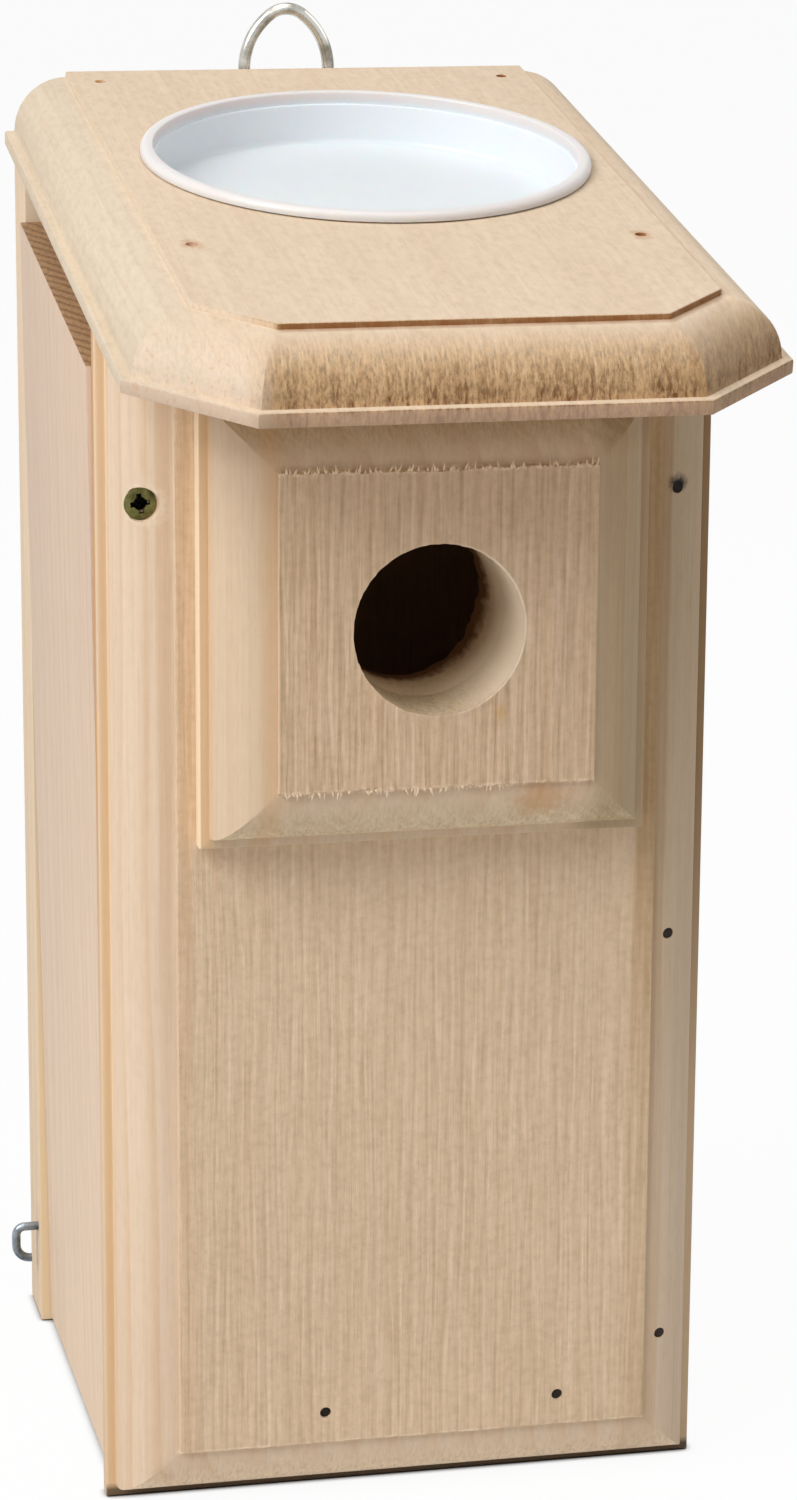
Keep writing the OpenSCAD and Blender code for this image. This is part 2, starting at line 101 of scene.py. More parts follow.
def smooth_noise(x, y, seed):
    """Value noise from -1 to 1, smooth, with cells one unit wide."""
    table = np.random.RandomState(seed).uniform(-1, 1, (256, 256))
    x, y = np.asarray(x, float), np.asarray(y, float)
    i, j = np.floor(x).astype(int), np.floor(y).astype(int)
    u, v = x - i, y - j
    u, v = u * u * (3 - 2 * u), v * v * (3 - 2 * v)
    i0, i1, j0, j1 = i % 256, (i + 1) % 256, j % 256, (j + 1) % 256
    low = table[i0, j0] * (1 - u) + table[i1, j0] * u
    high = table[i0, j1] * (1 - u) + table[i1, j1] * u
    return low * (1 - v) + high * v


def make_object(name, points, faces):
    """A mesh object from points in mm, with its faces turned outward."""
    mesh = bpy.data.meshes.new(name)
    mesh.from_pydata([tuple(p) for p in np.asarray(points, float) * 0.001], [], faces)
    bm = bmesh.new()
    bm.from_mesh(mesh)
    bmesh.ops.recalc_face_normals(bm, faces=bm.faces)
    bm.to_mesh(mesh)
    bm.free()
    obj = bpy.data.objects.new(name, mesh)
    bpy.context.scene.collection.objects.link(obj)
    return obj


def coords(obj):
    flat = np.zeros(len(obj.data.vertices) * 3, np.float32)
    obj.data.vertices.foreach_get("co", flat)
    return flat.reshape(-1, 3).astype(float) * 1000


def set_coords(obj, points):
    obj.data.vertices.foreach_set("co", (np.asarray(points) * 0.001).astype(np.float32).ravel())
    obj.data.update()


def shade(obj, degrees):
    """Smooth shading, with edges over this angle left sharp."""
    mesh = obj.data
    mesh.polygons.foreach_set("use_smooth", [True] * len(mesh.polygons))
    mesh.set_sharp_from_angle(angle=math.radians(degrees))


def lathe_points(outline, count):
    """Points and faces of a closed outline [(radius, height)] turned round the Z axis."""
    angles = np.arange(count) * 2 * math.pi / count
    points, faces, rows = [], [], []
    for r, z in outline:
        if r < 1e-6:
            rows.append([len(points)] * count)
            points.append((0, 0, z))
        else:
            rows.append(list(range(len(points), len(points) + count)))
            points += [(r * math.cos(a), r * math.sin(a), z) for a in angles]
    for k in range(len(rows) - 1):
        for i in range(count):
            j = (i + 1) % count
            ring = [rows[k][i], rows[k][j], rows[k + 1][j], rows[k + 1][i]]
            ring = [v for n, v in enumerate(ring) if v != ring[n - 1]]
            if len(ring) > 2:
                faces.append(ring)
    return points, faces


def cutter(parts):
    """One object from several lathed outlines: (outline, count, origin, direction of the outline's +Z)."""
    all_points, all_faces = [], []
    for outline, count, origin, direction in parts:
        points, faces = lathe_points(outline, count)
        turn = Vector((0, 0, 1)).rotation_difference(Vector(direction)).to_matrix()
        base = len(all_points)
        all_points += [tuple(turn @ Vector(p) + Vector(origin)) for p in points]
        all_faces += [[v + base for v in f] for f in faces]
    return make_object("cutter", all_points, all_faces)


def rod(radius, low, high):
    return [(0, low), (radius, low), (radius, high), (0, high)]


def nail_holes(places, out, high=4):
    """Cutter parts for a nail hole at each place, open along out."""
    return [(rod(NAIL_R, -NAIL_DEEP, high), 24, place, out) for place in places]


def cut(obj, tool):
    """Takes the tool's volume away from obj and removes the tool."""
    bm = bmesh.new()
    bm.from_mesh(obj.data)
    bmesh.ops.triangulate(bm, faces=[f for f in bm.faces if len(f.verts) > 4])
    bm.to_mesh(obj.data)
    bm.free()
    modifier = obj.modifiers.new("cut", "BOOLEAN")
    modifier.operation = "DIFFERENCE"
    modifier.solver = "EXACT"
    modifier.object = tool
    bpy.context.view_layer.update()
    graph = bpy.context.evaluated_depsgraph_get()
    mesh = bpy.data.meshes.new_from_object(obj.evaluated_get(graph))
    obj.modifiers.clear()
    obj.data = mesh
    bpy.data.objects.remove(tool)


def inset_corners(outline, inset, end):
    """The outline's corners moved inward, to its left. An open outline ends on the line b = end."""
    count = len(outline)
    closed = end is None
    edges = []
    for k in range(count if closed else count - 1):
        p, q = np.array(outline[k], float), np.array(outline[(k + 1) % count], float)
        along = (q - p) / np.linalg.norm(q - p)
        inward = np.array([-along[1], along[0]])
        edges.append((p + inward * inset, along))

    def meet(first, second):
        (p, u), (q, v) = first, second
        t = np.linalg.solve(np.array([u, -v]).T, q - p)
        return p + u * t[0]

    if closed:
        return [meet(edges[k - 1], edges[k]) for k in range(count)]
    first = edges[0][0] + edges[0][1] * ((end - edges[0][0][1]) / edges[0][1][1])
    last = edges[-1][0] + edges[-1][1] * ((end - edges[-1][0][1]) / edges[-1][1][1])
    return [first] + [meet(edges[k - 1], edges[k]) for k in range(1, count - 1)] + [last]


def routed_board(outline, counts, thickness, end):
    """Points (a, b, h) and faces of a board with a routed edge all round, or open at b = end(h).

    The edges run down the left side, along the bottom and up the right side, the interior on their left.
    counts gives each edge's subdivisions, with as many on the left side as on the right.
    """
    ledge = thickness - PROFILE_H
    profile = [(0.35, 0), (0.1, 0.1), (0, 0.35), (0, ledge - 0.45), (0.13, ledge - 0.13), (0.45, ledge)]
    profile.append((LEDGE_W - 0.25, ledge))
    for k in range(15):
        turn = math.pi / 2 * (0.02 + 0.98 * k / 14)
        profile.append((PROFILE_W - ROUND_R * math.cos(turn), ledge + ROUND_R * math.sin(turn)))
    profile += [(PROFILE_W + 0.02, thickness - 0.5), (PROFILE_W + 0.06, thickness - 0.12)]
    profile.append((PROFILE_W + 0.22, thickness))
    closed = end is None
    rows = []
    for inset, h in profile:
        corners = inset_corners(outline, inset, None if closed else end(h))
        row = []
        for k, n in enumerate(counts):
            p, q = corners[k], corners[(k + 1) % len(corners)]
            row += [p + (q - p) * (i / n) for i in range(n)]
        if not closed:
            row.append(corners[-1])
        rows.append([(a, b, h) for a, b in row])
    width = len(rows[0])
    points = [p for row in rows for p in row]
    faces = []
    span = width if closed else width - 1
    for i in range(len(rows) - 1):
        for j in range(span):
            k = (j + 1) % width
            faces.append([i * width + j, i * width + k, (i + 1) * width + k, (i + 1) * width + j])
    # interior grid between the left and the right chain of the innermost row
    base = (len(rows) - 1) * width
    sides = (len(counts) - 1) // 2 if not closed else 1
    left_n = sum(counts[:sides])
    across = counts[sides]
    grid = [[base + left_n + c for c in range(across + 1)]]
    for r in range(1, left_n + 1):
        left = base + left_n - r
        right = base + (left_n + across + r) % width
        if closed and r == left_n:
            grid.append([base + (width - c) % width for c in range(across + 1)])
            continue
        p, q = np.array(points[left]), np.array(points[right])
        line = [left]
        for c in range(1, across):
            line.append(len(points))
            points.append(tuple(p + (q - p) * (c / across)))
        grid.append(line + [right])
    for r in range(left_n):
        for c in range(across):
            faces.append([grid[r][c], grid[r][c + 1], grid[r + 1][c + 1], grid[r + 1][c]])
    faces.append(list(range(width)))
    if not closed:
        left_end = [i * width for i in range(len(rows))]
        right_end = [i * width + width - 1 for i in range(len(rows))]
        faces.append(left_end + grid[-1][1:-1] + right_end[::-1])
    return np.array(points), faces


def plank(name, x0, x1, side, bevel):
    """A board from its outline [(y, z)] seen from the side, with slightly rounded edges."""
    count = len(side)
    points = [(x, y, z) for x in (x0, x1) for y, z in side]
    faces = [list(range(count)), list(range(count, 2 * count))]
    faces += [[k, (k + 1) % count, count + (k + 1) % count, count + k] for k in range(count)]
    obj = make_object(name, points, faces)
    bm = bmesh.new()
    bm.from_mesh(obj.data)
    bmesh.ops.bevel(bm, geom=list(bm.edges), offset=bevel * 0.001, segments=2, profile=0.6, affect="EDGES")
    bm.to_mesh(obj.data)
    bm.free()
    return obj


def roof_under(y):
    """Height of the roof's underside at depth y."""
    return EAVE_Z + (y - EAVE_Y) * TAN


def fade(value, start, stop):
    """1 at start, falling smoothly to 0 at stop."""
    t = np.clip((np.asarray(value, float) - start) / (stop - start), 0, 1)
    return 1 - t * t * (3 - 2 * t)


def on_roof(points):
    """Roof drawing (across, up the slope, over the underside) to the frame."""
    u, s, h = np.asarray(points, float).T
    return np.stack([u, EAVE_Y + s * COS - h * SIN, EAVE_Z + s * SIN + h * COS], 1)


# boards


def front_board():
    end = FRONT_TOP - BOTTOM + BOARD * TAN
    outline = [(-HALF_W, end), (-HALF_W, 0), (HALF_W, 0), (HALF_W, end)]
    points, faces = routed_board(outline, [170, 250, 170], BOARD, lambda h: end - h * TAN)
    a, b, h = points.T
    obj = make_object("front_board_wood", np.stack([a, FRONT_IN - h, b + BOTTOM], 1), faces)
    back, out = (0, 1, 0), (0, -1, 0)
    bore = [(0, -3), (HOLE_R, -3)] + [(HOLE_R, BOARD - d) for d in (5, 3.5, 2.2, 1.1, 0.4)]
    bore += [(HOLE_R, BOARD + 3), (0, BOARD + 3)]
    parts = [(bore, 160, (0, FRONT_Y, HOLE_Z), back)]
    sunk, cone = 5.0, SCREW_HEAD_R - SCREW_R
    pocket = [(0, -5), (SCREW_HEAD_R, -5), (SCREW_HEAD_R, sunk), (SCREW_R, sunk + cone)]
    pocket += [(SCREW_R, BOARD + 3), (0, BOARD + 3)]
    parts.append((pocket, 48, (PIVOT_X, FRONT_Y, PIVOT_Z), back))
    for k in range(KERF_N):
        centre = (0, FRONT_IN - KERF_DEPTH + BLADE_R, HOLE_Z - HOLE_R - KERF_START - KERF_PITCH * k)
        parts.append((rod(BLADE_R, -KERF_W / 2, KERF_W / 2), 240, centre, (0, 0, 1)))
    parts += nail_holes([(SIDE_NAILS_X, FRONT_Y + STEP + 0.6, z) for z in SIDE_NAILS_Z], out, 6)
    parts += nail_holes([(x, FRONT_Y, FLOOR_NAILS_Z) for x in FRONT_FLOOR_NAILS_X], out)
    cut(obj, cutter(parts))
    x, y, z = coords(obj).T
    face = fade(np.abs(y - FRONT_Y), 0.0, 0.16)
    streak = smooth_noise(x * 1.05, z * 0.03, 11) + 0.7 * smooth_noise(x * 2.1, z * 0.07, 12)
    y = y - face * 0.04 * streak
    # the lower end of the raised face is slightly torn
    low = BOTTOM + PROFILE_W
    at_step = fade(np.abs(z - low), 0.3, 2.2) * fade(y - FRONT_Y, 0.7, 1.2)
    at_step = at_step * (np.abs(x) < HALF_W - PROFILE_W + 0.3)
    tear = smooth_noise(x * 0.33, x * 0 + 2.5, 21) + 0.6 * smooth_noise(x * 0.9, x * 0 + 4.5, 22)
    z = z + at_step * 0.16 * tear
    # torn fibres at the inner end of the hole
    radius, angle = np.hypot(x, z - HOLE_Z), np.arctan2(z - HOLE_Z, x)
    torn = fade(FRONT_IN - y, 0.2, 4.6) * fade(np.abs(radius - HOLE_R), 0.05, 0.5)
    turned = angle + math.radians(12)
    side = np.exp(-((turned / math.radians(52)) ** 2))
    ragged = 0.6 * smooth_noise(angle * 6, angle * 0 + 3.5, 23)
    ragged = ragged + 0.4 * smooth_noise(angle * 15, angle * 0 + 7.5, 24)
    torn = torn * (0.15 + 0.12 * ragged + side * (1.7 + 1.1 * ragged))
    x, z = x - torn * np.cos(angle), z - torn * np.sin(angle)
    set_coords(obj, np.stack([x, y, z], 1))
    shade(obj, 32)
    return obj


def hole_guard():
    half = GUARD_W / 2
    outline = [(-half, half), (-half, -half), (half, -half), (half, half)]
    points, faces = routed_board(outline, [150, 200, 150, 200], BOARD, None)
    a, b, h = points.T
    obj = make_object("hole_guard_wood", np.stack([a, FRONT_Y - h, b + HOLE_Z], 1), faces)
    cut(obj, cutter([(rod(HOLE_R, -3, BOARD + 3), 192, (0, FRONT_Y - BOARD, HOLE_Z), (0, 1, 0))]))
    x, y, z = coords(obj).T
    z = z - HOLE_Z
    out = FRONT_Y - y
    face = fade(BOARD - out, 0.0, 0.16)
    streak = (
        smooth_noise(x * 0.75, z * 0.045, 31)
        + 0.9 * smooth_noise(x * 1.5, z * 0.09, 32)
        + 0.5 * smooth_noise(x * 2.6, z * 0.2, 33)
    )
    lift = face * 0.07 * streak
    # torn fibres along the upper and lower ends of the raised face
    reach = half - PROFILE_W
    ends = fade(reach - np.abs(z), 0.25, 2.6) * fade(BOARD - out, 0.7, 1.15) * (np.abs(x) < reach + 0.3)
    upper = z > 0
    seed_row = np.where(upper, 3.5, 8.5)
    tear = smooth_noise(x * 0.42, seed_row, 41) + 0.8 * smooth_noise(x * 1.15, seed_row, 42)
    amount = np.where(upper, 0.38, 0.42 * fade(x, 6, 26) + 0.08)
    z = z + np.sign(z) * ends * amount * tear
    curl = np.clip(smooth_noise(x * 0.8, seed_row + 1, 43), 0, 1)
    lift = lift + ends * amount * 0.9 * curl
    # a burr round the mouth of the hole, strongest at the lower left
    radius, angle = np.hypot(x, z), np.arctan2(z, x)
    rim = fade(radius, HOLE_R, HOLE_R + 1.3) * (out > BOARD - 0.3)
    turn = angle * 9
    burr = 0.5 + 0.5 * smooth_noise(turn, turn * 0 + 1.5, 44)
    side = 0.55 + 0.45 * np.cos(angle - math.radians(235))
    lift = lift + rim * 0.28 * burr * side
    ragged = rim * 0.12 * smooth_noise(turn * 2.3, turn * 0 + 6.5, 45)
    x, z = x + ragged * np.cos(angle), z + ragged * np.sin(angle)
    set_coords(obj, np.stack([x, y - lift, z + HOLE_Z], 1))
    shade(obj, 32)
    return obj


def guard_fibres():
    """Torn fibres standing along the upper and lower ends of the guard's raised face."""
    random = np.random.RandomState(7)
    reach = GUARD_W / 2 - PROFILE_W
    points, faces = [], []
    for end, count, low, high in ((1, 84, -34.5, 35.5), (-1, 58, -34.5, 16)):
        for _ in range(count):
            x, length = random.uniform(low, high), random.uniform(0.7, 2.3)
            width = random.uniform(0.12, 0.34)
            lean, curl = random.uniform(-0.8, 0.8), random.uniform(0.1, 0.75)
            base = len(points)
            for k in range(5):
                t = k / 4
                centre_y = FRONT_Y - BOARD + 0.3 - curl * math.sin(2.4 * t)
                centre_z = HOLE_Z + end * (reach - 0.5 + t * length)
                half = width * (1 - 0.85 * t * t)
                for side, out in ((-1, 0), (0, -0.5), (1, 0), (0, 0.5)):
                    points.append((x + lean * t + half * side, centre_y + half * out, centre_z))
            for k in range(4):
                for c in range(4):
                    low_c, high_c = base + 4 * k + c, base + 4 * k + (c + 1) % 4
                    faces.append([low_c, high_c, high_c + 4, low_c + 4])
            faces += [[base, base + 1, base + 2, base + 3], [base + 16, base + 17, base + 18, base + 19]]
    obj = make_object("guard_torn_fibres", points, faces)
    shade(obj, 50)
    return obj


def roof_board():
    half = ROOF_W / 2
    outline = [(-half, 400), (-half, ROOF_CLIP), (-half + ROOF_CLIP, 0)]
    outline += [(half - ROOF_CLIP, 0), (half, ROOF_CLIP), (half, 400)]
    points, faces = routed_board(
        outline, [130, 22, 96, 22, 130], ROOF_T, lambda h: (-EAVE_Y + h * SIN) / COS
    )
    obj = make_object("roof_board_wood", on_roof(points), faces)
    dish = on_roof([(DISH_X, DISH_S, ROOF_T)])[0]
    recess = DISH_DEPTH - DISH_RIM_H + DISH_WALL + 0.3
    parts = [(rod(RECESS_R, -recess, 5), 160, tuple(dish), (0, -SIN, COS))]
    places = [(x, y, roof_under(y) + ROOF_T / COS) for x in ROOF_NAILS_X for y in ROOF_NAILS_Y]
    parts += nail_holes(places, (0, 0, 1))
    cut(obj, cutter(parts))
    shade(obj, 32)
    return obj


def side_boards():
    """The door, the fixed side, the back board and the floor."""
    y0, y1, foot = FRONT_IN + DOOR_GAP, BACK_IN - DOOR_GAP, BOTTOM + DOOR_FOOT
    side = [(y0, foot), (y1, foot), (y1, roof_under(y1) - VENT), (y0, roof_under(y0) - VENT)]
    door = plank("door_wood", -HALF_W - DOOR_PROUD, -HALF_W - DOOR_PROUD + BOARD, side, 0.4)
    lean = (
        Matrix.Translation((PIVOT_X / 1000, 0, PIVOT_Z / 1000))
        @ Matrix.Rotation(-DOOR_LEAN, 4, "Y")
        @ Matrix.Translation((-PIVOT_X / 1000, 0, -PIVOT_Z / 1000))
    )
    door.data.transform(lean)
    side = [(FRONT_IN, BOTTOM), (BACK_IN, BOTTOM)]
    side += [(BACK_IN, roof_under(BACK_IN) - VENT), (FRONT_IN, roof_under(FRONT_IN) - VENT)]
    panel = plank("side_wood", HALF_W - BOARD, HALF_W, side, 0.3)
    places = [(HALF_W, y, FLOOR_NAILS_Z) for y in SIDE_FLOOR_NAILS_Y]
    cut(panel, cutter(nail_holes(places, (1, 0, 0))))
    side = [(BACK_IN, BOTTOM), (0, BOTTOM), (0, roof_under(0)), (BACK_IN, roof_under(BACK_IN))]
    back = plank("back_wood", -HALF_W, HALF_W, side, 0.3)
    out = (0, 1, 0)
    parts = nail_holes([(SIDE_NAILS_X, 0, z) for z in SIDE_NAILS_Z], out)
    parts += nail_holes([(x, 0, FLOOR_NAILS_Z) for x in BACK_FLOOR_NAILS_X], out)
    seat = [(0, 3), (SCREW_HEAD_R, 3), (SCREW_HEAD_R, 0), (SCREW_R, SCREW_R - SCREW_HEAD_R)]
    seat += [(SCREW_R, -BOARD - 2), (0, -BOARD - 2)]
    parts.append((seat, 48, (PIVOT_X, 0, PIVOT_Z), out))
    cut(back, cutter(parts))
    under = BOTTOM + FLOOR_LIFT
    side = [(FRONT_IN, under), (BACK_IN, under), (BACK_IN, under + BOARD), (FRONT_IN, under + BOARD)]
    x0, x1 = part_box("floor_board")[0].x * 1000, HALF_W - BOARD
    floor = plank("floor_wood", x0, x1, side, 0.2)
    parts = [
        (rod(DRAIN_R, -3, BOARD + 3), 40, (x, y, under), (0, 0, 1))
        for x in (x0 + DRAIN_INSET, x1 - DRAIN_INSET)
        for y in (FRONT_IN + DRAIN_INSET, BACK_IN - DRAIN_INSET)
    ]
    cut(floor, cutter(parts))
    for obj in (door, panel, back, floor):
        shade(obj, 30)
    return door, panel, back, floor


def feeder_dish():
    """The dish, lathed round its own axis and laid on the roof."""
    outer, inner, top = DISH_R, DISH_R - DISH_RIM_W, DISH_RIM_H
    floor_z, under_z = top - DISH_DEPTH, top - DISH_DEPTH - DISH_WALL
    well, round_r, fillet = inner - 0.52, DISH_RIM_W / 2, 1.2
    foot = well - 0.18
    line = [(0, floor_z), (foot * 0.5, floor_z), (foot - 1.6, floor_z)]
    line += [
        (foot - fillet + fillet * math.sin(t), floor_z + fillet - fillet * math.cos(t))
        for t in np.linspace(0, math.pi / 2, 7)
    ]
    line += [(well, -0.85), (well + 0.05, -0.68), (well + 0.18, -0.6), (inner - 0.12, -0.58), (inner, -0.46)]
    line += [(inner, top - 0.45), (inner + 0.04, top - 0.2), (inner + 0.15, top - 0.06), (inner + 0.35, top)]
    line += [
        (outer - round_r + round_r * math.sin(t), top - round_r + round_r * math.cos(t))
        for t in np.linspace(0, math.pi / 2, 10)
    ]
    line += [(outer, 0.45), (outer - 0.12, 0.32), (outer - 0.4, 0.3), (50.5, 0.3), (50.3, 0.1)]
    line += [(50.0, floor_z + 0.3), (49.6, floor_z - 0.9), (48.9, under_z), (44, under_z), (0, under_z)]
    points, faces = lathe_points(line, 224)
    points = np.array(points) + np.array([DISH_X, DISH_S, ROOF_T])
    obj = make_object("feeder_dish_plastic", on_roof(points), faces)
    shade(obj, 40)
    return obj


# materials


class Nodes:
    """Short names for building one material's nodes."""

    def __init__(self, name):
        self.material = bpy.data.materials.new(name)
        self.material.use_nodes = True
        self.tree = self.material.node_tree
        self.tree.nodes.clear()
        output = self.tree.nodes.new("ShaderNodeOutputMaterial")
        self.shader = self.tree.nodes.new("ShaderNodeBsdfPrincipled")
        self.tree.links.new(self.shader.outputs[0], output.inputs[0])

    def new(self, kind, inputs=(), out=0, **settings):
        node = self.tree.nodes.new(kind)
        for key, value in settings.items():
            setattr(node, key, value)
        for key, value in dict(inputs).items():
            self.put(node.inputs[key], value)
        return node.outputs[out]

    def put(self, socket, value):
        if isinstance(value, bpy.types.NodeSocket):
            self.tree.links.new(value, socket)
        else:
            socket.default_value = value

    def math(self, operation, *values):
        return self.new("ShaderNodeMath", dict(enumerate(values)), operation=operation)

    def times(self, product, *factors):
        for factor in factors:
            product = self.math("MULTIPLY", product, factor)
        return product

    def rise(self, value, start, stop, low=0.0, high=1.0):
        """low at start, rising evenly to high at stop, and flat beyond both."""
        inputs = {"Value": value, "From Min": start, "From Max": stop, "To Min": low, "To Max": high}
        return self.new("ShaderNodeMapRange", inputs)

    def axis(self, vector, index):
        return self.new("ShaderNodeSeparateXYZ", {0: vector}, out=index)

    def plus(self, vector, offset):
        return self.new("ShaderNodeVectorMath", {0: vector, 1: offset}, operation="ADD")

    def length(self, vector):
        return self.new("ShaderNodeVectorMath", {0: vector}, out=1, operation="LENGTH")

    def scaled(self, vector, factors):
        return self.new("ShaderNodeVectorMath", {0: vector, 1: factors}, operation="MULTIPLY")

    def noise(self, vector, factors, detail=3.0, roughness=0.55):
        vector = self.scaled(vector, factors)
        inputs = {"Vector": vector, "Scale": 1.0, "Detail": detail, "Roughness": roughness}
        return self.new("ShaderNodeTexNoise", inputs)

    def ramp(self, value, stops):
        node = self.tree.nodes.new("ShaderNodeValToRGB")
        while len(node.color_ramp.elements) < len(stops):
            node.color_ramp.elements.new(0.5)
        for element, (place, colour) in zip(node.color_ramp.elements, stops):
            element.position = place
            element.color = (colour, colour, colour, 1) if isinstance(colour, (int, float)) else (*colour, 1)
        self.tree.links.new(value, node.inputs[0])
        return node.outputs[0]

    def mix(self, factor, first, second, blend="MIX"):
        node = self.tree.nodes.new("ShaderNodeMix")
        node.data_type = "RGBA"
        node.blend_type = blend
        self.put(node.inputs[0], factor)
        for index, value in ((6, first), (7, second)):
            self.put(node.inputs[index], (*value, 1) if isinstance(value, tuple) else value)
        return node.outputs[2]

    def bump(self, height, distance, strength=1.0):
        inputs = {"Height": height, "Distance": distance, "Strength": strength}
        self.put(self.shader.inputs["Normal"], self.new("ShaderNodeBump", inputs))

    def finish(self, roughness, specular=0.5, metallic=0.0):
        self.put(self.shader.inputs["Roughness"], roughness)
        self.shader.inputs["Specular IOR Level"].default_value = specular
        self.shader.inputs["Metallic"].default_value = metallic
        return self.material


def srgb(*values):
    """Linear colour of an 8-bit sRGB one."""
    scaled = [v / 255 for v in values]
    return tuple(v / 12.92 if v <= 0.04045 else ((v + 0.055) / 1.055) ** 2.4 for v in scaled)


def timber(
    name, early, late, end, pith, ring=3.2, contrast=0.5, rough=None, rough_tone=None, turn=0.0, marks=None,
    speckle=0.45, streaks=1.0, saw=1.0, cloud=1.0,
):
    """Softwood. Growth rings lie round the pith, a line along the grain, in mm from the frame's axis.

    turn rotates about X until the grain stands along Z and the face looks along -Y. Faces with y below rough
    are rough-sawn, in rough_tone, with saw marks as strong as saw. marks adds what one board alone has.
    """
    g = Nodes(name)
    where = g.tree.nodes.new("ShaderNodeTexCoord")
    inputs = {"Vector": where.outputs["Object"], "Rotation": (turn, 0, 0), "Scale": (1000, 1000, 1000)}
    p = g.new("ShaderNodeMapping", inputs)
    inputs = {"Vector": where.outputs["Normal"], "Rotation": (turn, 0, 0)}
    normal = g.new("ShaderNodeMapping", inputs)
    end_mask = g.ramp(g.math("ABSOLUTE", g.axis(normal, 2)), [(0.12, 0.0), (0.9, 1.0)])

    # growth rings
    wander = g.new(
        "ShaderNodeTexNoise",
        {"Vector": g.scaled(p, (0.02, 0.02, 0.004)), "Scale": 1.0, "Detail": 2.0},
        out=1,
    )
    wander = g.new("ShaderNodeVectorMath", {0: wander, 1: (0.5, 0.5, 0.5)}, operation="SUBTRACT")
    wander = g.scaled(wander, (9, 9, 0))
    q = g.plus(p, (-pith[0], -pith[1], 0))
    q = g.plus(q, wander)
    radius = g.length(g.scaled(q, (1, 1, 0)))
    phase = g.math("FRACT", g.math("DIVIDE", radius, ring))
    rings = g.ramp(phase, [(0.0, 0.05), (0.45, 0.12), (0.8, 0.62), (0.93, 1.0), (1.0, 0.1)])
    patchy = g.noise(p, (0.012, 0.012, 0.003), 2.0)
    rings = g.times(rings, g.ramp(patchy, [(0.3, 0.35), (0.7, 1.0)]))

    # fibres along the grain
    fibre = g.noise(p, (0.9, 0.9, 0.012), 4.0, 0.6)
    fine = g.noise(p, (3.2, 3.2, 0.05), 3.0, 0.6)
    dashes = g.ramp(g.noise(p, (2.6, 2.6, 0.11), 1.0), [(0.63, 0.0), (0.72, 1.0)])

    colour = g.mix(g.times(rings, contrast), early, late)
    tint = g.ramp(fibre, [(0.25, (0.90, 0.875, 0.84)), (0.5, 1.0), (0.75, (1.06, 1.065, 1.07))])
    colour = g.mix(0.85 * streaks, colour, tint, "MULTIPLY")
    tint = g.ramp(fine, [(0.3, (0.95, 0.94, 0.925)), (0.7, 1.03)])
    colour = g.mix(0.8 * streaks, colour, tint, "MULTIPLY")
    colour = g.mix(g.times(dashes, 0.16 * streaks), colour, srgb(176, 134, 90))
    cloudy = g.noise(p, (0.55, 0.55, 0.25), 4.0, 0.7)
    tones = (0.955, 0.945, 0.93), (1.03, 1.03, 1.035)
    dim, lift = (tuple(1 + cloud * (c - 1) for c in tone) for tone in tones)
    tint = g.ramp(cloudy, [(0.3, dim), (0.5, 1.0), (0.7, lift)])
    colour = g.mix(0.8, colour, tint, "MULTIPLY")

    # end grain: darker, with specks in its rings
    specks = g.noise(p, (1.6, 0.6, 0.3), 3.0, 0.72)
    dots = g.ramp(specks, [(0.36, 1.0), (0.46, 0.35), (0.56, 0.0), (0.66, 0.0)])
    glints = g.ramp(specks, [(0.52, 0.0), (0.66, 1.0)])
    ended = g.mix(g.times(dots, speckle), end, tuple(c * 0.36 for c in end))
    ended = g.mix(g.times(glints, 0.55 * speckle), ended, tuple(min(c * 1.4, 0.9) for c in end))
    ended = g.mix(g.times(rings, 0.3), ended, tuple(c * 0.78 for c in end))
    colour = g.mix(end_mask, colour, ended)

    height = g.times(fibre, 0.35)
    height = g.math("ADD", height, g.times(fine, 0.35))
    height = g.math("ADD", height, g.times(rings, -0.15))
    height = g.math("ADD", height, g.times(specks, end_mask, 0.5))

    if rough:
        sawn = g.rise(g.axis(p, 1), rough + 0.35, rough + 0.15)
        grooves = g.noise(p, (0.48, 0.48, 0.028), 4.0, 0.6)
        lines = g.noise(p, (1.3, 1.3, 0.06), 3.0, 0.6)
        sway = g.times(g.noise(p, (0.13, 0.13, 0.012), 3.0, 0.5), 15.0)
        angle = g.math("ADD", g.times(g.axis(p, 0), 2 * math.pi / SAW_PITCH), sway)
        second = g.times(g.math("SINE", g.times(angle, 2.0)), 0.55)
        ribs = g.math("ADD", g.math("SINE", angle), second)
        comb = g.rise(ribs, -1.4, 1.4)
        present = g.ramp(g.noise(p, (0.25, 0.25, 0.1), 4.0, 0.65), [(0.36, 0.2), (0.62, 1.0)])
        mottle = g.noise(p, (0.5, 0.5, 0.5), 4.0, 0.7)
        darker = tuple(c * (1 - f * saw) for c, f in zip(rough_tone, (0.15, 0.17, 0.21)))
        tone = g.mix(g.ramp(grooves, [(0.34, 0.0), (0.66, 1.0)]), darker, rough_tone)
        stripe = g.ramp(lines, [(0.34, (0.85, 0.82, 0.77)), (0.5, 1.0), (0.66, (1.08, 1.1, 1.14))])
        tone = g.mix(0.9 * saw, tone, stripe, "MULTIPLY")
        stops = [(0.0, (0.86, 0.835, 0.79)), (0.5, (0.98, 0.975, 0.97)), (1.0, (1.08, 1.095, 1.13))]
        teeth = g.ramp(comb, stops)
        tone = g.mix(g.times(present, min(1.3 * saw, 1.0)), tone, teeth, "MULTIPLY")
        blotch = g.ramp(mottle, [(0.34, (0.9, 0.885, 0.86)), (0.5, 1.0), (0.66, (1.06, 1.065, 1.08))])
        tone = g.mix(0.85, tone, blotch, "MULTIPLY")
        tone = g.mix(g.times(rings, 0.16), tone, late)
        colour = g.mix(sawn, colour, tone)
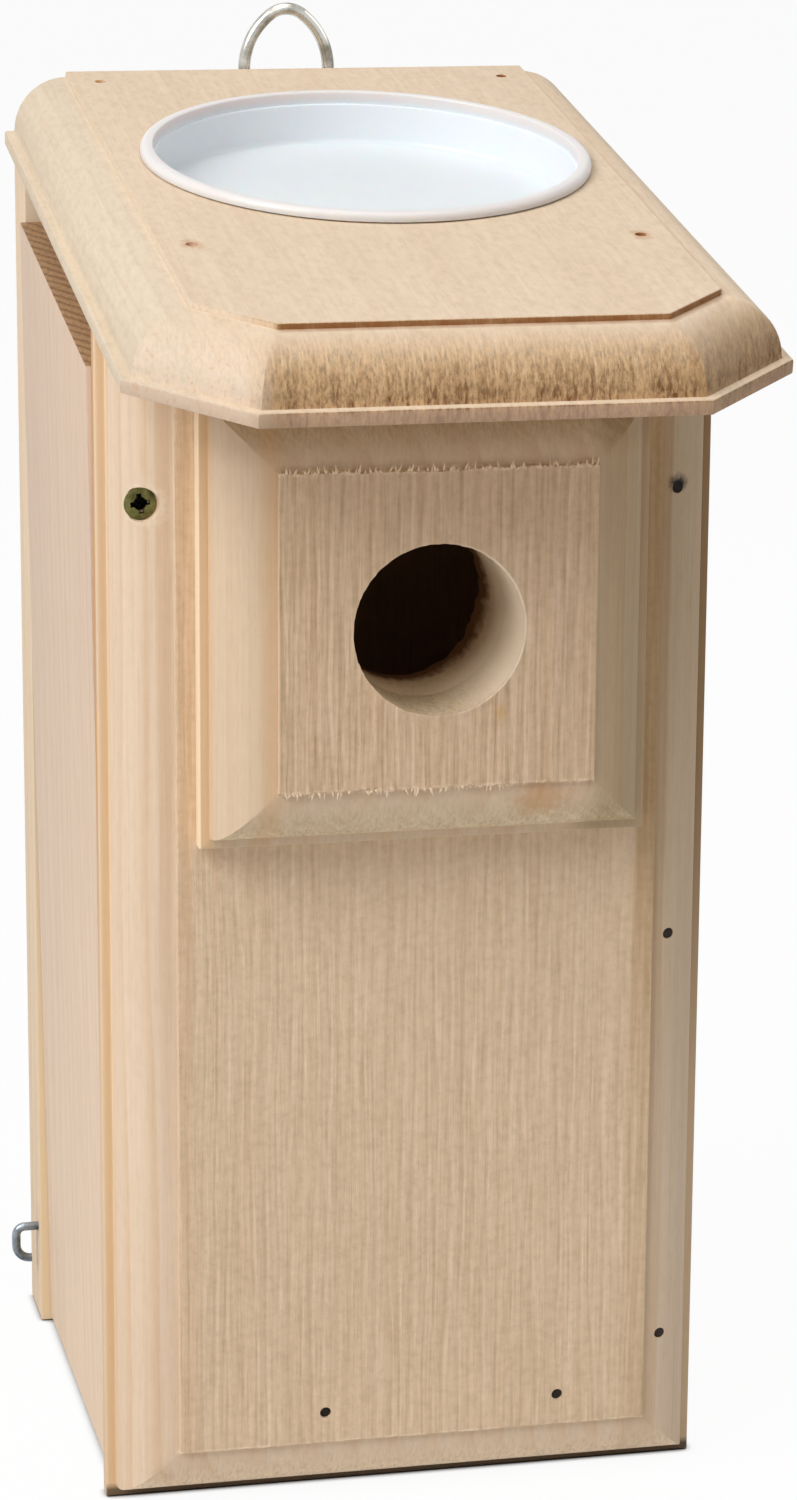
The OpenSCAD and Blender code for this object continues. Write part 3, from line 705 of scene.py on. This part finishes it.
        saw_height = g.math("ADD", g.times(grooves, 1.2 * saw), g.times(lines, 1.4 * saw))
        saw_height = g.math("ADD", saw_height, g.times(comb, present, 1.5 * saw))
        height = g.math("ADD", height, g.times(saw_height, sawn))

    if marks:
        colour = marks(g, p, colour, end_mask)

    broad = g.noise(p, (0.011, 0.011, 0.006), 3.0)
    colour = g.mix(0.6, colour, g.ramp(broad, [(0.3, (0.95, 0.945, 0.93)), (0.7, 1.03)]), "MULTIPLY")
    g.put(g.shader.inputs["Base Color"], colour)
    g.bump(height, 0.00016, 0.8)
    return g.finish(g.ramp(fine, [(0.3, 0.74), (0.7, 0.62)]), 0.3)


def plastic():
    g = Nodes("white_plastic")
    where = g.tree.nodes.new("ShaderNodeTexCoord").outputs["Object"]
    cloudy = g.noise(where, (14, 14, 14), 3.0)
    specks = g.noise(where, (900, 900, 900), 2.0)
    colour = g.ramp(cloudy, [(0.3, srgb(224, 223, 225)), (0.7, srgb(229, 228, 230))])
    # height over the roof's face: the rim is warmer, the wall paler
    over = g.math("ADD", g.times(g.axis(where, 2), COS * 1000), ROOF_FACE)
    over = g.math("SUBTRACT", over, g.times(g.axis(where, 1), SIN * 1000))
    wall = g.times(band(g, over, -4.6, 4.2, 0.6), 0.9)
    colour = g.mix(wall, colour, srgb(236, 236, 240))
    rim = g.rise(over, 0.0, 0.8)
    colour = g.mix(rim, colour, srgb(225, 220, 218))
    g.put(g.shader.inputs["Base Color"], colour)
    g.bump(specks, 0.00002, 0.5)
    g.shader.inputs["Subsurface Weight"].default_value = 0.35
    g.shader.inputs["Subsurface Scale"].default_value = 0.006
    return g.finish(g.ramp(cloudy, [(0.3, 0.34), (0.7, 0.28)]), 0.5)


def metal(name, clean, dull, roughness, metallic=1.0, patch=260, recess=None):
    """Metal in two tones. recess = (y, direction) blackens what lies past y in that direction: painted shade
    in a screw's recess.
    """
    g = Nodes(name)
    where = g.tree.nodes.new("ShaderNodeTexCoord").outputs["Object"]
    patches = g.noise(where, (patch, patch, patch), 4.0, 0.6)
    streaks = g.noise(where, (1500, 1500, 500), 2.0)
    colour = g.mix(g.ramp(patches, [(0.42, 0.0), (0.66, 1.0)]), clean, dull)
    if recess:
        # painted shade: the screw's cross recess is blackened
        plane, inward = recess
        sunk = g.rise(g.axis(where, 1), plane + 0.00008 * inward, plane + 0.0003 * inward)
        colour = g.mix(sunk, colour, srgb(16, 14, 10))
    g.put(g.shader.inputs["Base Color"], colour)
    g.bump(streaks, 0.00003, 0.6)
    low, high = roughness
    return g.finish(g.ramp(patches, [(0.3, low), (0.7, high)]), 0.5, metallic)


def near(g, p, centre, radii):
    """1 close to a place, 0 outside its radii, all in mm."""
    offset = g.plus(p, tuple(-c for c in centre))
    offset = g.scaled(offset, tuple(1 / r for r in radii))
    distance = g.length(offset)
    ragged = g.noise(p, (0.6, 0.6, 0.6), 3.0)
    distance = g.math("ADD", distance, g.times(g.math("SUBTRACT", ragged, 0.5), 1.2))
    return g.ramp(distance, [(0.35, 1.0), (1.0, 0.0)])


def band(g, value, centre, half, soft):
    """1 where value lies within half of centre, with soft edges."""
    away = g.math("ABSOLUTE", g.math("SUBTRACT", value, centre))
    return g.rise(away, half + soft, half)


def hole_wall(g, p, margin):
    """1 on the entrance's wall, fading to 0 at this margin outside it."""
    reach = g.length(g.scaled(g.plus(p, (0, 0, -HOLE_Z)), (1, 0, 1)))
    return g.rise(reach, HOLE_R + margin, HOLE_R + margin - 0.4)


def front_marks(g, p, colour, end_mask):
    """Latewood lines on the ledges and beside the guard, those right of it partly painted shade; painted
    shade right of the guard, on the right ledge, round the right nail hole and as a dark lower edge; painted
    light and shade on the hole's wall, with torn fibres at its inner end.
    """
    x, y, z = (g.axis(p, k) for k in range(3))
    drift = g.times(g.math("SUBTRACT", g.noise(p, (0.0, 0.0, 0.011), 2.0), 0.5), 2.4)
    x_drift = g.math("ADD", x, drift)
    upper = g.rise(z, -60.0, 20.0, low=0.25)
    orange = srgb(200, 150, 98)
    left_lines = (-52.9, 1.1, 0.27), (-57.2, 1.1, 0.3), (-46.4, 0.5, 0.15), (-60.6, 0.3, 0.12)
    for centre, half, strength in left_lines:
        line = g.times(band(g, x_drift, centre, half, 0.8), upper)
        colour = g.mix(g.times(line, strength), colour, orange)
    # brown lines right of the guard: latewood lines, partly painted shade of the guard
    for centre, half, strength in ((51.6, 0.7, 0.5), (53.8, 0.5, 0.42), (56.2, 1.0, 0.3)):
        line = g.times(band(g, x_drift, centre, half, 0.9), upper)
        colour = g.mix(g.times(line, strength), colour, srgb(170, 128, 68))
    ledge = band(g, y, FRONT_Y + PROFILE_H, 0.5, 0.6)
    colour = g.mix(g.times(ledge, 0.5), colour, srgb(229, 200, 160))
    left_line = g.times(ledge, band(g, x, -68.8, 0.4, 0.6))
    colour = g.mix(g.times(left_line, 0.3), colour, srgb(214, 160, 98))
    lip_line = g.times(band(g, y, FRONT_IN - 1.4, 1.4, 0.6), band(g, x, -70.0, 0.1, 0.1))
    colour = g.mix(g.times(lip_line, upper, 0.85), colour, srgb(204, 148, 88))
    # painted shade of the guard and roof on the right flank and on the strip right of the guard
    high = g.rise(z, -80.0, 60.0, low=0.1)
    flank = g.times(high, g.rise(x, 52.0, 58.0))
    colour = g.mix(flank, colour, (0.68, 0.66, 0.59), "MULTIPLY")
    beside = g.times(upper, band(g, x, 53.0, 2.5, 1.0))
    colour = g.mix(g.times(beside, 0.7), colour, (0.84, 0.8, 0.7), "MULTIPLY")
    # painted shade: the right ledge goes dark brown beneath its round
    right_ledge_shade = g.times(ledge, g.rise(x, 66, 68))
    colour = g.mix(g.times(right_ledge_shade, upper, 0.75), colour, srgb(140, 106, 70))
    # painted shade: the bottom ledge goes near-black beneath the round, where it meets the floor
    bottom_ledge_shade = g.rise(z, BOTTOM + 3.2, BOTTOM + 1.6)
    colour = g.mix(g.times(ledge, bottom_ledge_shade, 0.85), colour, srgb(72, 50, 30))
    # painted shade: a near-black patch round the nail hole on the right round
    nail_hole_shade = near(g, p, (59.0, FRONT_Y + STEP + 0.6, 87.1), (2.7, 5, 2.4))
    colour = g.mix(nail_hole_shade, colour, srgb(20, 11, 5))
    halo = near(g, p, (PIVOT_X, FRONT_Y + STEP + 0.6, PIVOT_Z), (6.2, 5, 6.2))
    colour = g.mix(g.times(halo, 0.6), colour, srgb(240, 224, 200))
    foot_step = g.times(band(g, z, BOTTOM + PROFILE_W, 0.35, 0.35), band(g, x, 0.0, 55.0, 1.0))
    wisps = g.ramp(g.noise(p, (0.35, 0.2, 0.6), 3.0, 0.65), [(0.42, 0.0), (0.58, 1.0)])
    colour = g.mix(g.times(foot_step, wisps, 0.7), colour, srgb(244, 224, 196))
    # painted light and shade on the hole's wall: near white toward its right side, darker farther in, and
    # dark brown at the inner end, which is torn fibres with painted shade
    wall = hole_wall(g, p, 0.5)
    painted_light = g.rise(x, -2.0, 12.0, low=0.25, high=0.95)
    colour = g.mix(g.times(wall, painted_light), colour, srgb(255, 234, 206))
    ragged = g.times(g.math("SUBTRACT", g.noise(p, (0.5, 0.2, 0.5), 3.0), 0.5), 5.0)
    inward = g.math("ADD", y, ragged)
    painted_shade_inward = g.rise(inward, FRONT_IN - 12.0, FRONT_IN - 3.0)
    colour = g.mix(g.times(wall, painted_shade_inward), colour, (0.76, 0.68, 0.57), "MULTIPLY")
    torn_and_shaded_exit = g.rise(inward, FRONT_IN - 5.6, FRONT_IN - 2.2)
    return g.mix(g.times(wall, torn_and_shaded_exit, 0.95), colour, srgb(98, 58, 22))


def roof_marks(g, p, colour, end_mask):
    """End grain along the front: painted light making the left corner cream, brown streaks low down, painted
    shade on the right corner, painted light on the left step and the right round, and a dark step that is
    partly router burn and partly painted shade.
    """
    x, y = g.axis(p, 0), g.axis(p, 1)
    # y runs from the top face inward, z up the slope
    depth = g.math("SUBTRACT", y, ROOF_FACE)
    front = g.rise(g.axis(p, 2), -90.0, -110.0)
    left = g.times(front, g.rise(x, -43.5, -50.0))
    right = g.rise(x, 38.0, 54.0)
    low = g.rise(depth, 3.0, 12.5)
    ended = g.times(end_mask, front, g.math("SUBTRACT", 1.0, left))
    columns = g.ramp(g.noise(p, (0.42, 0.03, 0.02), 5.0, 0.75), [(0.43, 0.0), (0.57, 1.0)])
    fleck = g.ramp(g.noise(p, (1.1, 0.35, 0.12), 3.0, 0.7), [(0.42, 0.2), (0.6, 1.0)])
    brown = g.times(columns, fleck, g.times(low, ended))
    colour = g.mix(g.times(brown, 0.95), colour, srgb(110, 68, 28))
    threads = g.ramp(g.noise(p, (1.6, 0.2, 0.08), 2.0, 0.6), [(0.54, 0.0), (0.66, 1.0)])
    high = g.times(g.math("SUBTRACT", 1.0, low), ended)
    colour = g.mix(g.times(threads, high, 0.45), colour, srgb(248, 226, 186))
    # painted light: the left corner's end grain is made cream, as where light from the left falls on it
    colour = g.mix(g.times(left, end_mask, 0.78), colour, srgb(234, 219, 202))
    pits = g.ramp(g.noise(p, (0.9, 0.55, 0.4), 3.0, 0.7), [(0.33, 1.0), (0.45, 0.0)])
    pits = g.times(pits, g.times(left, end_mask))
    colour = g.mix(g.times(pits, 0.5), colour, srgb(196, 150, 106))
    # painted light on the step's wall at the left corner and along the left side, making up for its shade
    left_step_painted_light = g.times(band(g, depth, 0.8, 0.4, 0.2), g.times(band(g, x, -49.3, 7.2, 0.6), front))
    colour = g.mix(g.times(left_step_painted_light, 0.35), colour, srgb(246, 228, 204))
    side_step_painted_light = g.times(band(g, depth, 0.75, 0.4, 0.2), band(g, x, -57.2, 0.5, 0.2))
    colour = g.mix(g.times(side_step_painted_light, 0.5), colour, srgb(236, 220, 200))
    # painted light: the right round is lightened toward the tone of the top
    right_round_painted_light = g.rise(x, 57.2, 57.6)
    right_round_painted_light = g.times(right_round_painted_light, g.math("SUBTRACT", 1.0, end_mask))
    colour = g.mix(right_round_painted_light, colour, (1.1, 1.09, 1.08), "MULTIPLY")
    low_corner, high_corner = (v * 1000 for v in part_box("roof_front_nails"))
    middle = (low_corner + high_corner) / 2
    up_slope = middle.y * COS + high_corner.z * SIN
    for nail_x in (low_corner.x + NAIL_HEAD_R, high_corner.x - NAIL_HEAD_R):
        ring_mark = near(g, p, (nail_x, ROOF_FACE, up_slope), (3.0, 3.0, 4.5))
        colour = g.mix(g.times(ring_mark, 0.55), colour, srgb(190, 136, 90))
    # painted shade: the right corner's end grain is darkened and browned
    dim = g.times(right, ended, 0.8)
    colour = g.mix(dim, colour, (0.6, 0.52, 0.38), "MULTIPLY")
    lip = g.rise(depth, PROFILE_H + 0.1, PROFILE_H + 0.6)
    colour = g.mix(g.times(lip, end_mask, 0.6), colour, srgb(190, 158, 134))
    outer = g.rise(x, -56.0, -60.0)
    colour = g.mix(g.times(outer, g.math("SUBTRACT", 1.0, end_mask)), colour, (0.93, 0.97, 1.0), "MULTIPLY")
    corner = g.rise(x, -36.0, -43.0)
    corner = g.times(corner, low, ended)
    colour = g.mix(g.times(corner, 0.27), colour, srgb(140, 116, 82))
    # a dark step line, partly router burn and partly painted shade
    step = band(g, depth, 0.75, 0.5, 0.2)
    side = g.rise(x, -42.5, -40.5)
    close = g.rise(x, 57.0, 56.4)
    uneven = g.ramp(g.noise(p, (0.25, 0.25, 0.25), 2.0), [(0.3, 0.55), (0.6, 0.95)])
    mask = g.times(step, g.times(side, close), uneven)
    return g.mix(mask, colour, srgb(150, 98, 52))


def guard_marks(g, p, colour, end_mask):
    """Duller rounds with painted shade on the right and top rounds, painted light on the left lip and the
    hole's wall, and resin stains on the lower edge and by the hole.
    """
    x, y, z = (g.axis(p, k) for k in range(3))
    below = g.rise(y, FRONT_Y - BOARD + 0.5, FRONT_Y - BOARD + 1.2)
    colour = g.mix(below, colour, (0.92, 0.9, 0.86), "MULTIPLY")
    # painted shade: the right round, which faces away from the light, is darkened and dulled
    right = g.times(below, g.rise(x, 33, 38))
    colour = g.mix(right, colour, (0.72, 0.69, 0.61), "MULTIPLY")
    # painted shade of the roof on the guard's top round
    top_round_shade = g.rise(z, HOLE_Z + 36, HOLE_Z + 41)
    colour = g.mix(g.times(below, top_round_shade), colour, (0.88, 0.85, 0.82), "MULTIPLY")
    # painted light: the hole's wall turns pale toward its right side, where light falls
    wall = hole_wall(g, p, 0.6)
    painted_light = g.rise(x, 2.0, 15.0, low=0.1, high=0.95)
    colour = g.mix(g.times(wall, painted_light), colour, srgb(250, 230, 204))
    inner = band(g, g.math("ABSOLUTE", x), 0.0, GUARD_W / 2 - PROFILE_W, 0.3)
    edge = band(g, g.math("ABSOLUTE", g.math("SUBTRACT", z, HOLE_Z)), GUARD_W / 2 - PROFILE_W, 0.4, 0.5)
    edge = g.times(edge, inner)
    strip = g.rise(y, FRONT_Y - 5.6, FRONT_Y - 5.2)
    warm_left = g.times(strip, g.rise(x, -47, -48.2))
    colour = g.mix(g.times(warm_left, 0.4), colour, srgb(226, 178, 120))
    # painted light: the left lip of the ledge, which faces the light, is made pale
    lip = g.rise(x, 0.35 - GUARD_W / 2, 0.1 - GUARD_W / 2)
    colour = g.mix(g.times(lip, 0.9), colour, srgb(246, 222, 190))
    step_line = band(g, x, -36.8, 1.4, 1.6)
    colour = g.mix(g.times(below, step_line, 0.3), colour, srgb(206, 158, 100))
    wisps = g.ramp(g.noise(p, (0.9, 0.2, 0.5), 3.0, 0.65), [(0.45, 0.0), (0.58, 1.0)])
    colour = g.mix(g.times(edge, wisps, 0.6), colour, srgb(244, 222, 194))
    slanted = g.new("ShaderNodeMapping", {"Vector": p, "Rotation": (0.0, 0.9, 0.0)})
    sheen = g.ramp(g.noise(slanted, (0.55, 0.1, 0.07), 3.0, 0.6), [(0.48, 0.0), (0.64, 1.0)])
    sheen = g.times(sheen, g.times(end_mask, below))
    colour = g.mix(g.times(sheen, 0.2), colour, srgb(248, 236, 208))
    stain = near(g, p, (24, -160, 21.5), (9, 9, 6))
    colour = g.mix(g.times(stain, 0.5), colour, srgb(192, 136, 80))
    drop = near(g, p, (14, -165, 41.5), (1.6, 2, 2.2))
    return g.mix(g.times(drop, 0.5), colour, srgb(205, 160, 90))


def door_marks(g, p, colour, end_mask):
    """Slanting saw lines across the door's top edge, and painted light and shade down the door's face."""
    x, y = g.axis(p, 0), g.axis(p, 1)
    along = g.math("ADD", y, g.times(x, 1.3))
    along = g.math("ADD", along, g.times(g.noise(p, (0.15, 0.15, 0.15), 2.0), 3.0))
    wave = g.math("FRACT", g.math("DIVIDE", along, 5.2))
    dark, light = (0.5, 0.42, 0.35), (0.9, 0.85, 0.8)
    lines = g.ramp(wave, [(0.0, dark), (0.35, light), (0.7, (0.85, 0.8, 0.74)), (1.0, dark)])
    colour = g.mix(end_mask, colour, lines, "MULTIPLY")
    # painted light and shade: paler toward the foot, darker up under the roof
    foot = g.rise(g.axis(p, 2), 80.0, BOTTOM)
    tone = g.ramp(foot, [(0.0, (0.92, 0.905, 0.9)), (1.0, (1.17, 1.17, 1.14))])
    return g.mix(0.95, colour, tone, "MULTIPLY")


def back_marks(g, p, colour, end_mask):
    """The inner face carries painted shade between two pale outer strips, and the board's long edges are
    lighter.
    """
    # painted shade: the middle of the inner face, inside the closed box, is darkened
    inside = g.rise(g.axis(p, 1), BACK_IN + 0.6, BACK_IN + 0.2)
    aside = g.math("ABSOLUTE", g.axis(p, 0))
    middle = g.rise(aside, HALF_W - 12, HALF_W - 16)
    colour = g.mix(g.times(inside, middle), colour, (0.62, 0.52, 0.44), "MULTIPLY")
    beside = g.times(inside, g.math("SUBTRACT", 1.0, middle))
    low = g.rise(g.axis(p, 2), -20.0, -90.0)
    colour = g.mix(g.times(beside, 0.9), colour, g.mix(low, srgb(219, 198, 170), srgb(233, 209, 171)))
    flank = g.rise(aside, HALF_W - 0.2, HALF_W - 0.05)
    return g.mix(flank, colour, (1.04, 1.06, 1.04), "MULTIPLY")


def assign(obj, material):
    obj.data.materials.clear()
    obj.data.materials.append(material)


def dress(obj, body, material, slot, *nodes):
    assign(obj, material)
    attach(obj, body)
    if nodes:
        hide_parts(*nodes)


pale, warm, brown = srgb(225, 202, 177), srgb(208, 163, 115), srgb(196, 160, 122)
front_wood = timber(
    "front_wood", pale, warm, srgb(247, 222, 191), (-95, -60), 6.5, 0.55, FRONT_Y, srgb(227, 200, 169),
    marks=front_marks, saw=0.5, streaks=0.75,
)
guard_wood = timber(
    "guard_wood", pale, warm, srgb(221, 200, 169), (-70, -260), 7.5, 0.4, FRONT_Y - BOARD,
    srgb(218, 189, 158), marks=guard_marks, saw=0.78, streaks=0.75,
)
fibre_wood = timber("torn_fibres", srgb(236, 212, 182), warm, srgb(230, 206, 176), (-70, -260), 7.5, 0.2)
roof_wood = timber(
    "roof_wood", srgb(222, 201, 176), srgb(208, 175, 137), srgb(201, 163, 120), (35, -330), 5.0, 0.3,
    turn=math.pi / 2 - SLOPE, marks=roof_marks, speckle=0.7, streaks=0.55, cloud=2.3,
)
door_wood = timber(
    "door_side_wood", srgb(221, 199, 179), srgb(208, 172, 136), brown, (-190, 20), 5.0, 0.4,
    marks=door_marks,
)
side_wood = timber(
    "fixed_side_wood", srgb(226, 205, 181), srgb(208, 170, 128), brown, (180, -140), 5.5, 0.45,
)
back_wood = timber("back_board_wood", pale, warm, brown, (30, 120), 6.0, 0.5, marks=back_marks)
floor_wood = timber("floor_board_wood", pale, warm, brown, (0, -400), 4.5, 0.4)

dress(front_board(), "box", front_wood, "front_board", "front_board")
dress(hole_guard(), "box", guard_wood, "hole_guard", "hole_guard")
dress(guard_fibres(), "box", fibre_wood, "hole_guard")
dress(roof_board(), "box", roof_wood, "roof_board", "roof_board")
door, panel, back, floor_piece = side_boards()
dress(door, "door", door_wood, "door_panel", "door_panel")
dress(panel, "box", side_wood, "side_panel", "side_panel")
dress(back, "box", back_wood, "back_board", "back_board")
dress(floor_piece, "box", floor_wood, "floor_board", "floor_board")
dress(feeder_dish(), "dish", plastic(), "dish", "feeder_dish")

steel = metal("bright_wire", srgb(204, 202, 194), srgb(98, 90, 72), (0.14, 0.26), patch=90)
blued = metal("hook_wire", srgb(166, 175, 183), srgb(70, 80, 90), (0.2, 0.4), patch=130)
zinc = metal("zinc_screw", srgb(196, 198, 200), srgb(150, 150, 148), (0.3, 0.5))
olive_tones = srgb(124, 120, 72), srgb(76, 72, 40), (0.36, 0.55)
olive_front = metal("olive_screw_front", *olive_tones, recess=(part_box("pivot_screw_front")[0].y, 1))
olive_rear = metal("olive_screw_rear", *olive_tones, recess=(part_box("pivot_screw_rear")[1].y, -1))
putty = metal("filled_nail", srgb(236, 206, 168), srgb(214, 172, 128), (0.6, 0.8), metallic=0.0)
rusty = metal("stained_nail", srgb(178, 112, 60), srgb(132, 82, 46), (0.6, 0.8), metallic=0.0)
dark = metal("nail_steel", srgb(46, 34, 24), srgb(24, 16, 10), (0.6, 0.8), metallic=0.3)
for node, material in (
    ("hanger_wire", steel),
    ("latch_hook", blued),
    ("hanger_screws", zinc),
    ("pivot_screw_front", olive_front),
    ("pivot_screw_rear", olive_rear),
    ("front_side_nails", dark),
    ("front_floor_nails", dark),
    ("back_side_nails", dark),
    ("back_floor_nails", dark),
    ("side_floor_nails", dark),
    ("roof_front_nails", rusty),
    ("roof_back_nails", putty),
):
    assign(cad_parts[node], material)


# stage, light and camera


def white_rays(tree):
    """1 for rays that see the background itself: camera, glossy and transmission rays."""
    path = tree.nodes.new("ShaderNodeLightPath")
    total = path.outputs["Is Camera Ray"]
    for kind in ("Is Glossy Ray", "Is Transmission Ray"):
        add = tree.nodes.new("ShaderNodeMath")
        add.operation = "ADD"
        add.use_clamp = True
        tree.links.new(total, add.inputs[0])
        tree.links.new(path.outputs[kind], add.inputs[1])
        total = add.outputs[0]
    return total


def make_stage():
    size = 6000
    corners = [(-size, -size), (size, -size), (size, size), (-size, size)]
    ground = make_object("ground", [(x, y, BOTTOM - 0.3) for x, y in corners], [[0, 1, 2, 3]])
    g = Nodes("ground_white")
    where = g.tree.nodes.new("ShaderNodeTexCoord").outputs["Object"]
    cloud = g.noise(where, (3, 3, 3), 2.0)
    direct = white_rays(g.tree)
    # painted contact shadow: near the box the floor's colour darkens by ambient occlusion, and its white
    # glow fades so real shadow shows
    contact = g.tree.nodes.new("ShaderNodeAmbientOcclusion")
    contact.samples = 8
    contact.inputs["Distance"].default_value = 0.0025
    clear = g.ramp(contact.outputs["AO"], [(0.35, 0.0), (0.9, 1.0)])
    seen = g.mix(clear, (0.2, 0.18, 0.15), g.ramp(cloud, [(0.3, 0.90), (0.7, 0.92)]))
    g.put(g.shader.inputs["Base Color"], g.mix(direct, (0.85, 0.85, 0.85), seen))
    g.finish(0.9, 0.1)
    glow = g.tree.nodes.new("ShaderNodeEmission")
    glow.inputs["Color"].default_value = (1, 1, 1, 1)
    blend = g.tree.nodes.new("ShaderNodeMixShader")
    share = g.times(direct, 0.95, clear)
    output = next(n for n in g.tree.nodes if n.type == "OUTPUT_MATERIAL")
    g.tree.links.new(share, blend.inputs[0])
    g.tree.links.new(g.shader.outputs[0], blend.inputs[1])
    g.tree.links.new(glow.outputs[0], blend.inputs[2])
    g.tree.links.new(blend.outputs[0], output.inputs[0])
    assign(ground, g.material)

    world = bpy.data.worlds.new("studio")
    bpy.context.scene.world = world
    world.use_nodes = True
    tree = world.node_tree
    tree.nodes.clear()
    output = tree.nodes.new("ShaderNodeOutputWorld")
    soft, white = tree.nodes.new("ShaderNodeBackground"), tree.nodes.new("ShaderNodeBackground")
    soft.inputs[0].default_value = (1, 1, 1, 1)
    soft.inputs[1].default_value = 0.18
    white.inputs[0].default_value = (1, 1, 1, 1)
    white.inputs[1].default_value = 1.0
    blend = tree.nodes.new("ShaderNodeMixShader")
    tree.links.new(white_rays(tree), blend.inputs[0])
    tree.links.new(soft.outputs[0], blend.inputs[1])
    tree.links.new(white.outputs[0], blend.inputs[2])
    tree.links.new(blend.outputs[0], output.inputs[0])


def area_light(name, place, size, energy):
    """A round softbox that looks at the middle of the box."""
    data = bpy.data.lights.new(name, "AREA")
    data.shape = "DISK"
    data.size = size
    data.energy = energy
    obj = bpy.data.objects.new(name, data)
    bpy.context.scene.collection.objects.link(obj)
    obj.location = place
    obj.rotation_euler = (Vector((0, -0.07, 0)) - Vector(place)).to_track_quat("-Z", "Y").to_euler()


def make_camera():
    """The photograph's camera: its turn and its focal length in pixels of the 1500-pixel-high frame."""
    focal_pixels, frame_pixels, sensor = 4314.2, 1500, 24
    yaw, pitch, roll = math.radians(12.368), math.radians(14.112), math.radians(-0.353)
    forward = Vector((math.sin(yaw) * math.cos(pitch), math.cos(yaw) * math.cos(pitch), -math.sin(pitch)))
    right = Vector((math.cos(yaw), -math.sin(yaw), 0))
    up = right.cross(forward)
    right, up = math.cos(roll) * right - math.sin(roll) * up, math.sin(roll) * right + math.cos(roll) * up
    data = bpy.data.cameras.new("camera")
    data.sensor_fit = "VERTICAL"
    data.sensor_height = sensor
    data.lens = sensor * focal_pixels / frame_pixels
    data.clip_end = 50
    camera = bpy.data.objects.new("camera", data)
    bpy.context.scene.collection.objects.link(camera)
    turn = Matrix((right, up, -forward)).transposed().to_4x4()
    camera.matrix_world = Matrix.Translation((-0.2041, -1.0545, 0.2632)) @ turn
    bpy.context.scene.camera = camera


make_stage()
area_light("left_softbox", (-1.194, -0.759, 1.157), 1.2, 24.5)
area_light("top_softbox", (0, -0.227, 1.793), 1.3, 7.4)
area_light("front_softbox", (0, -1.343, 1.273), 1.2, 3.6)
area_light("right_softbox", (1.535, -0.341, 0.9), 1.2, 3.6)
make_camera()
bpy.context.scene.view_settings.view_transform = "Standard"
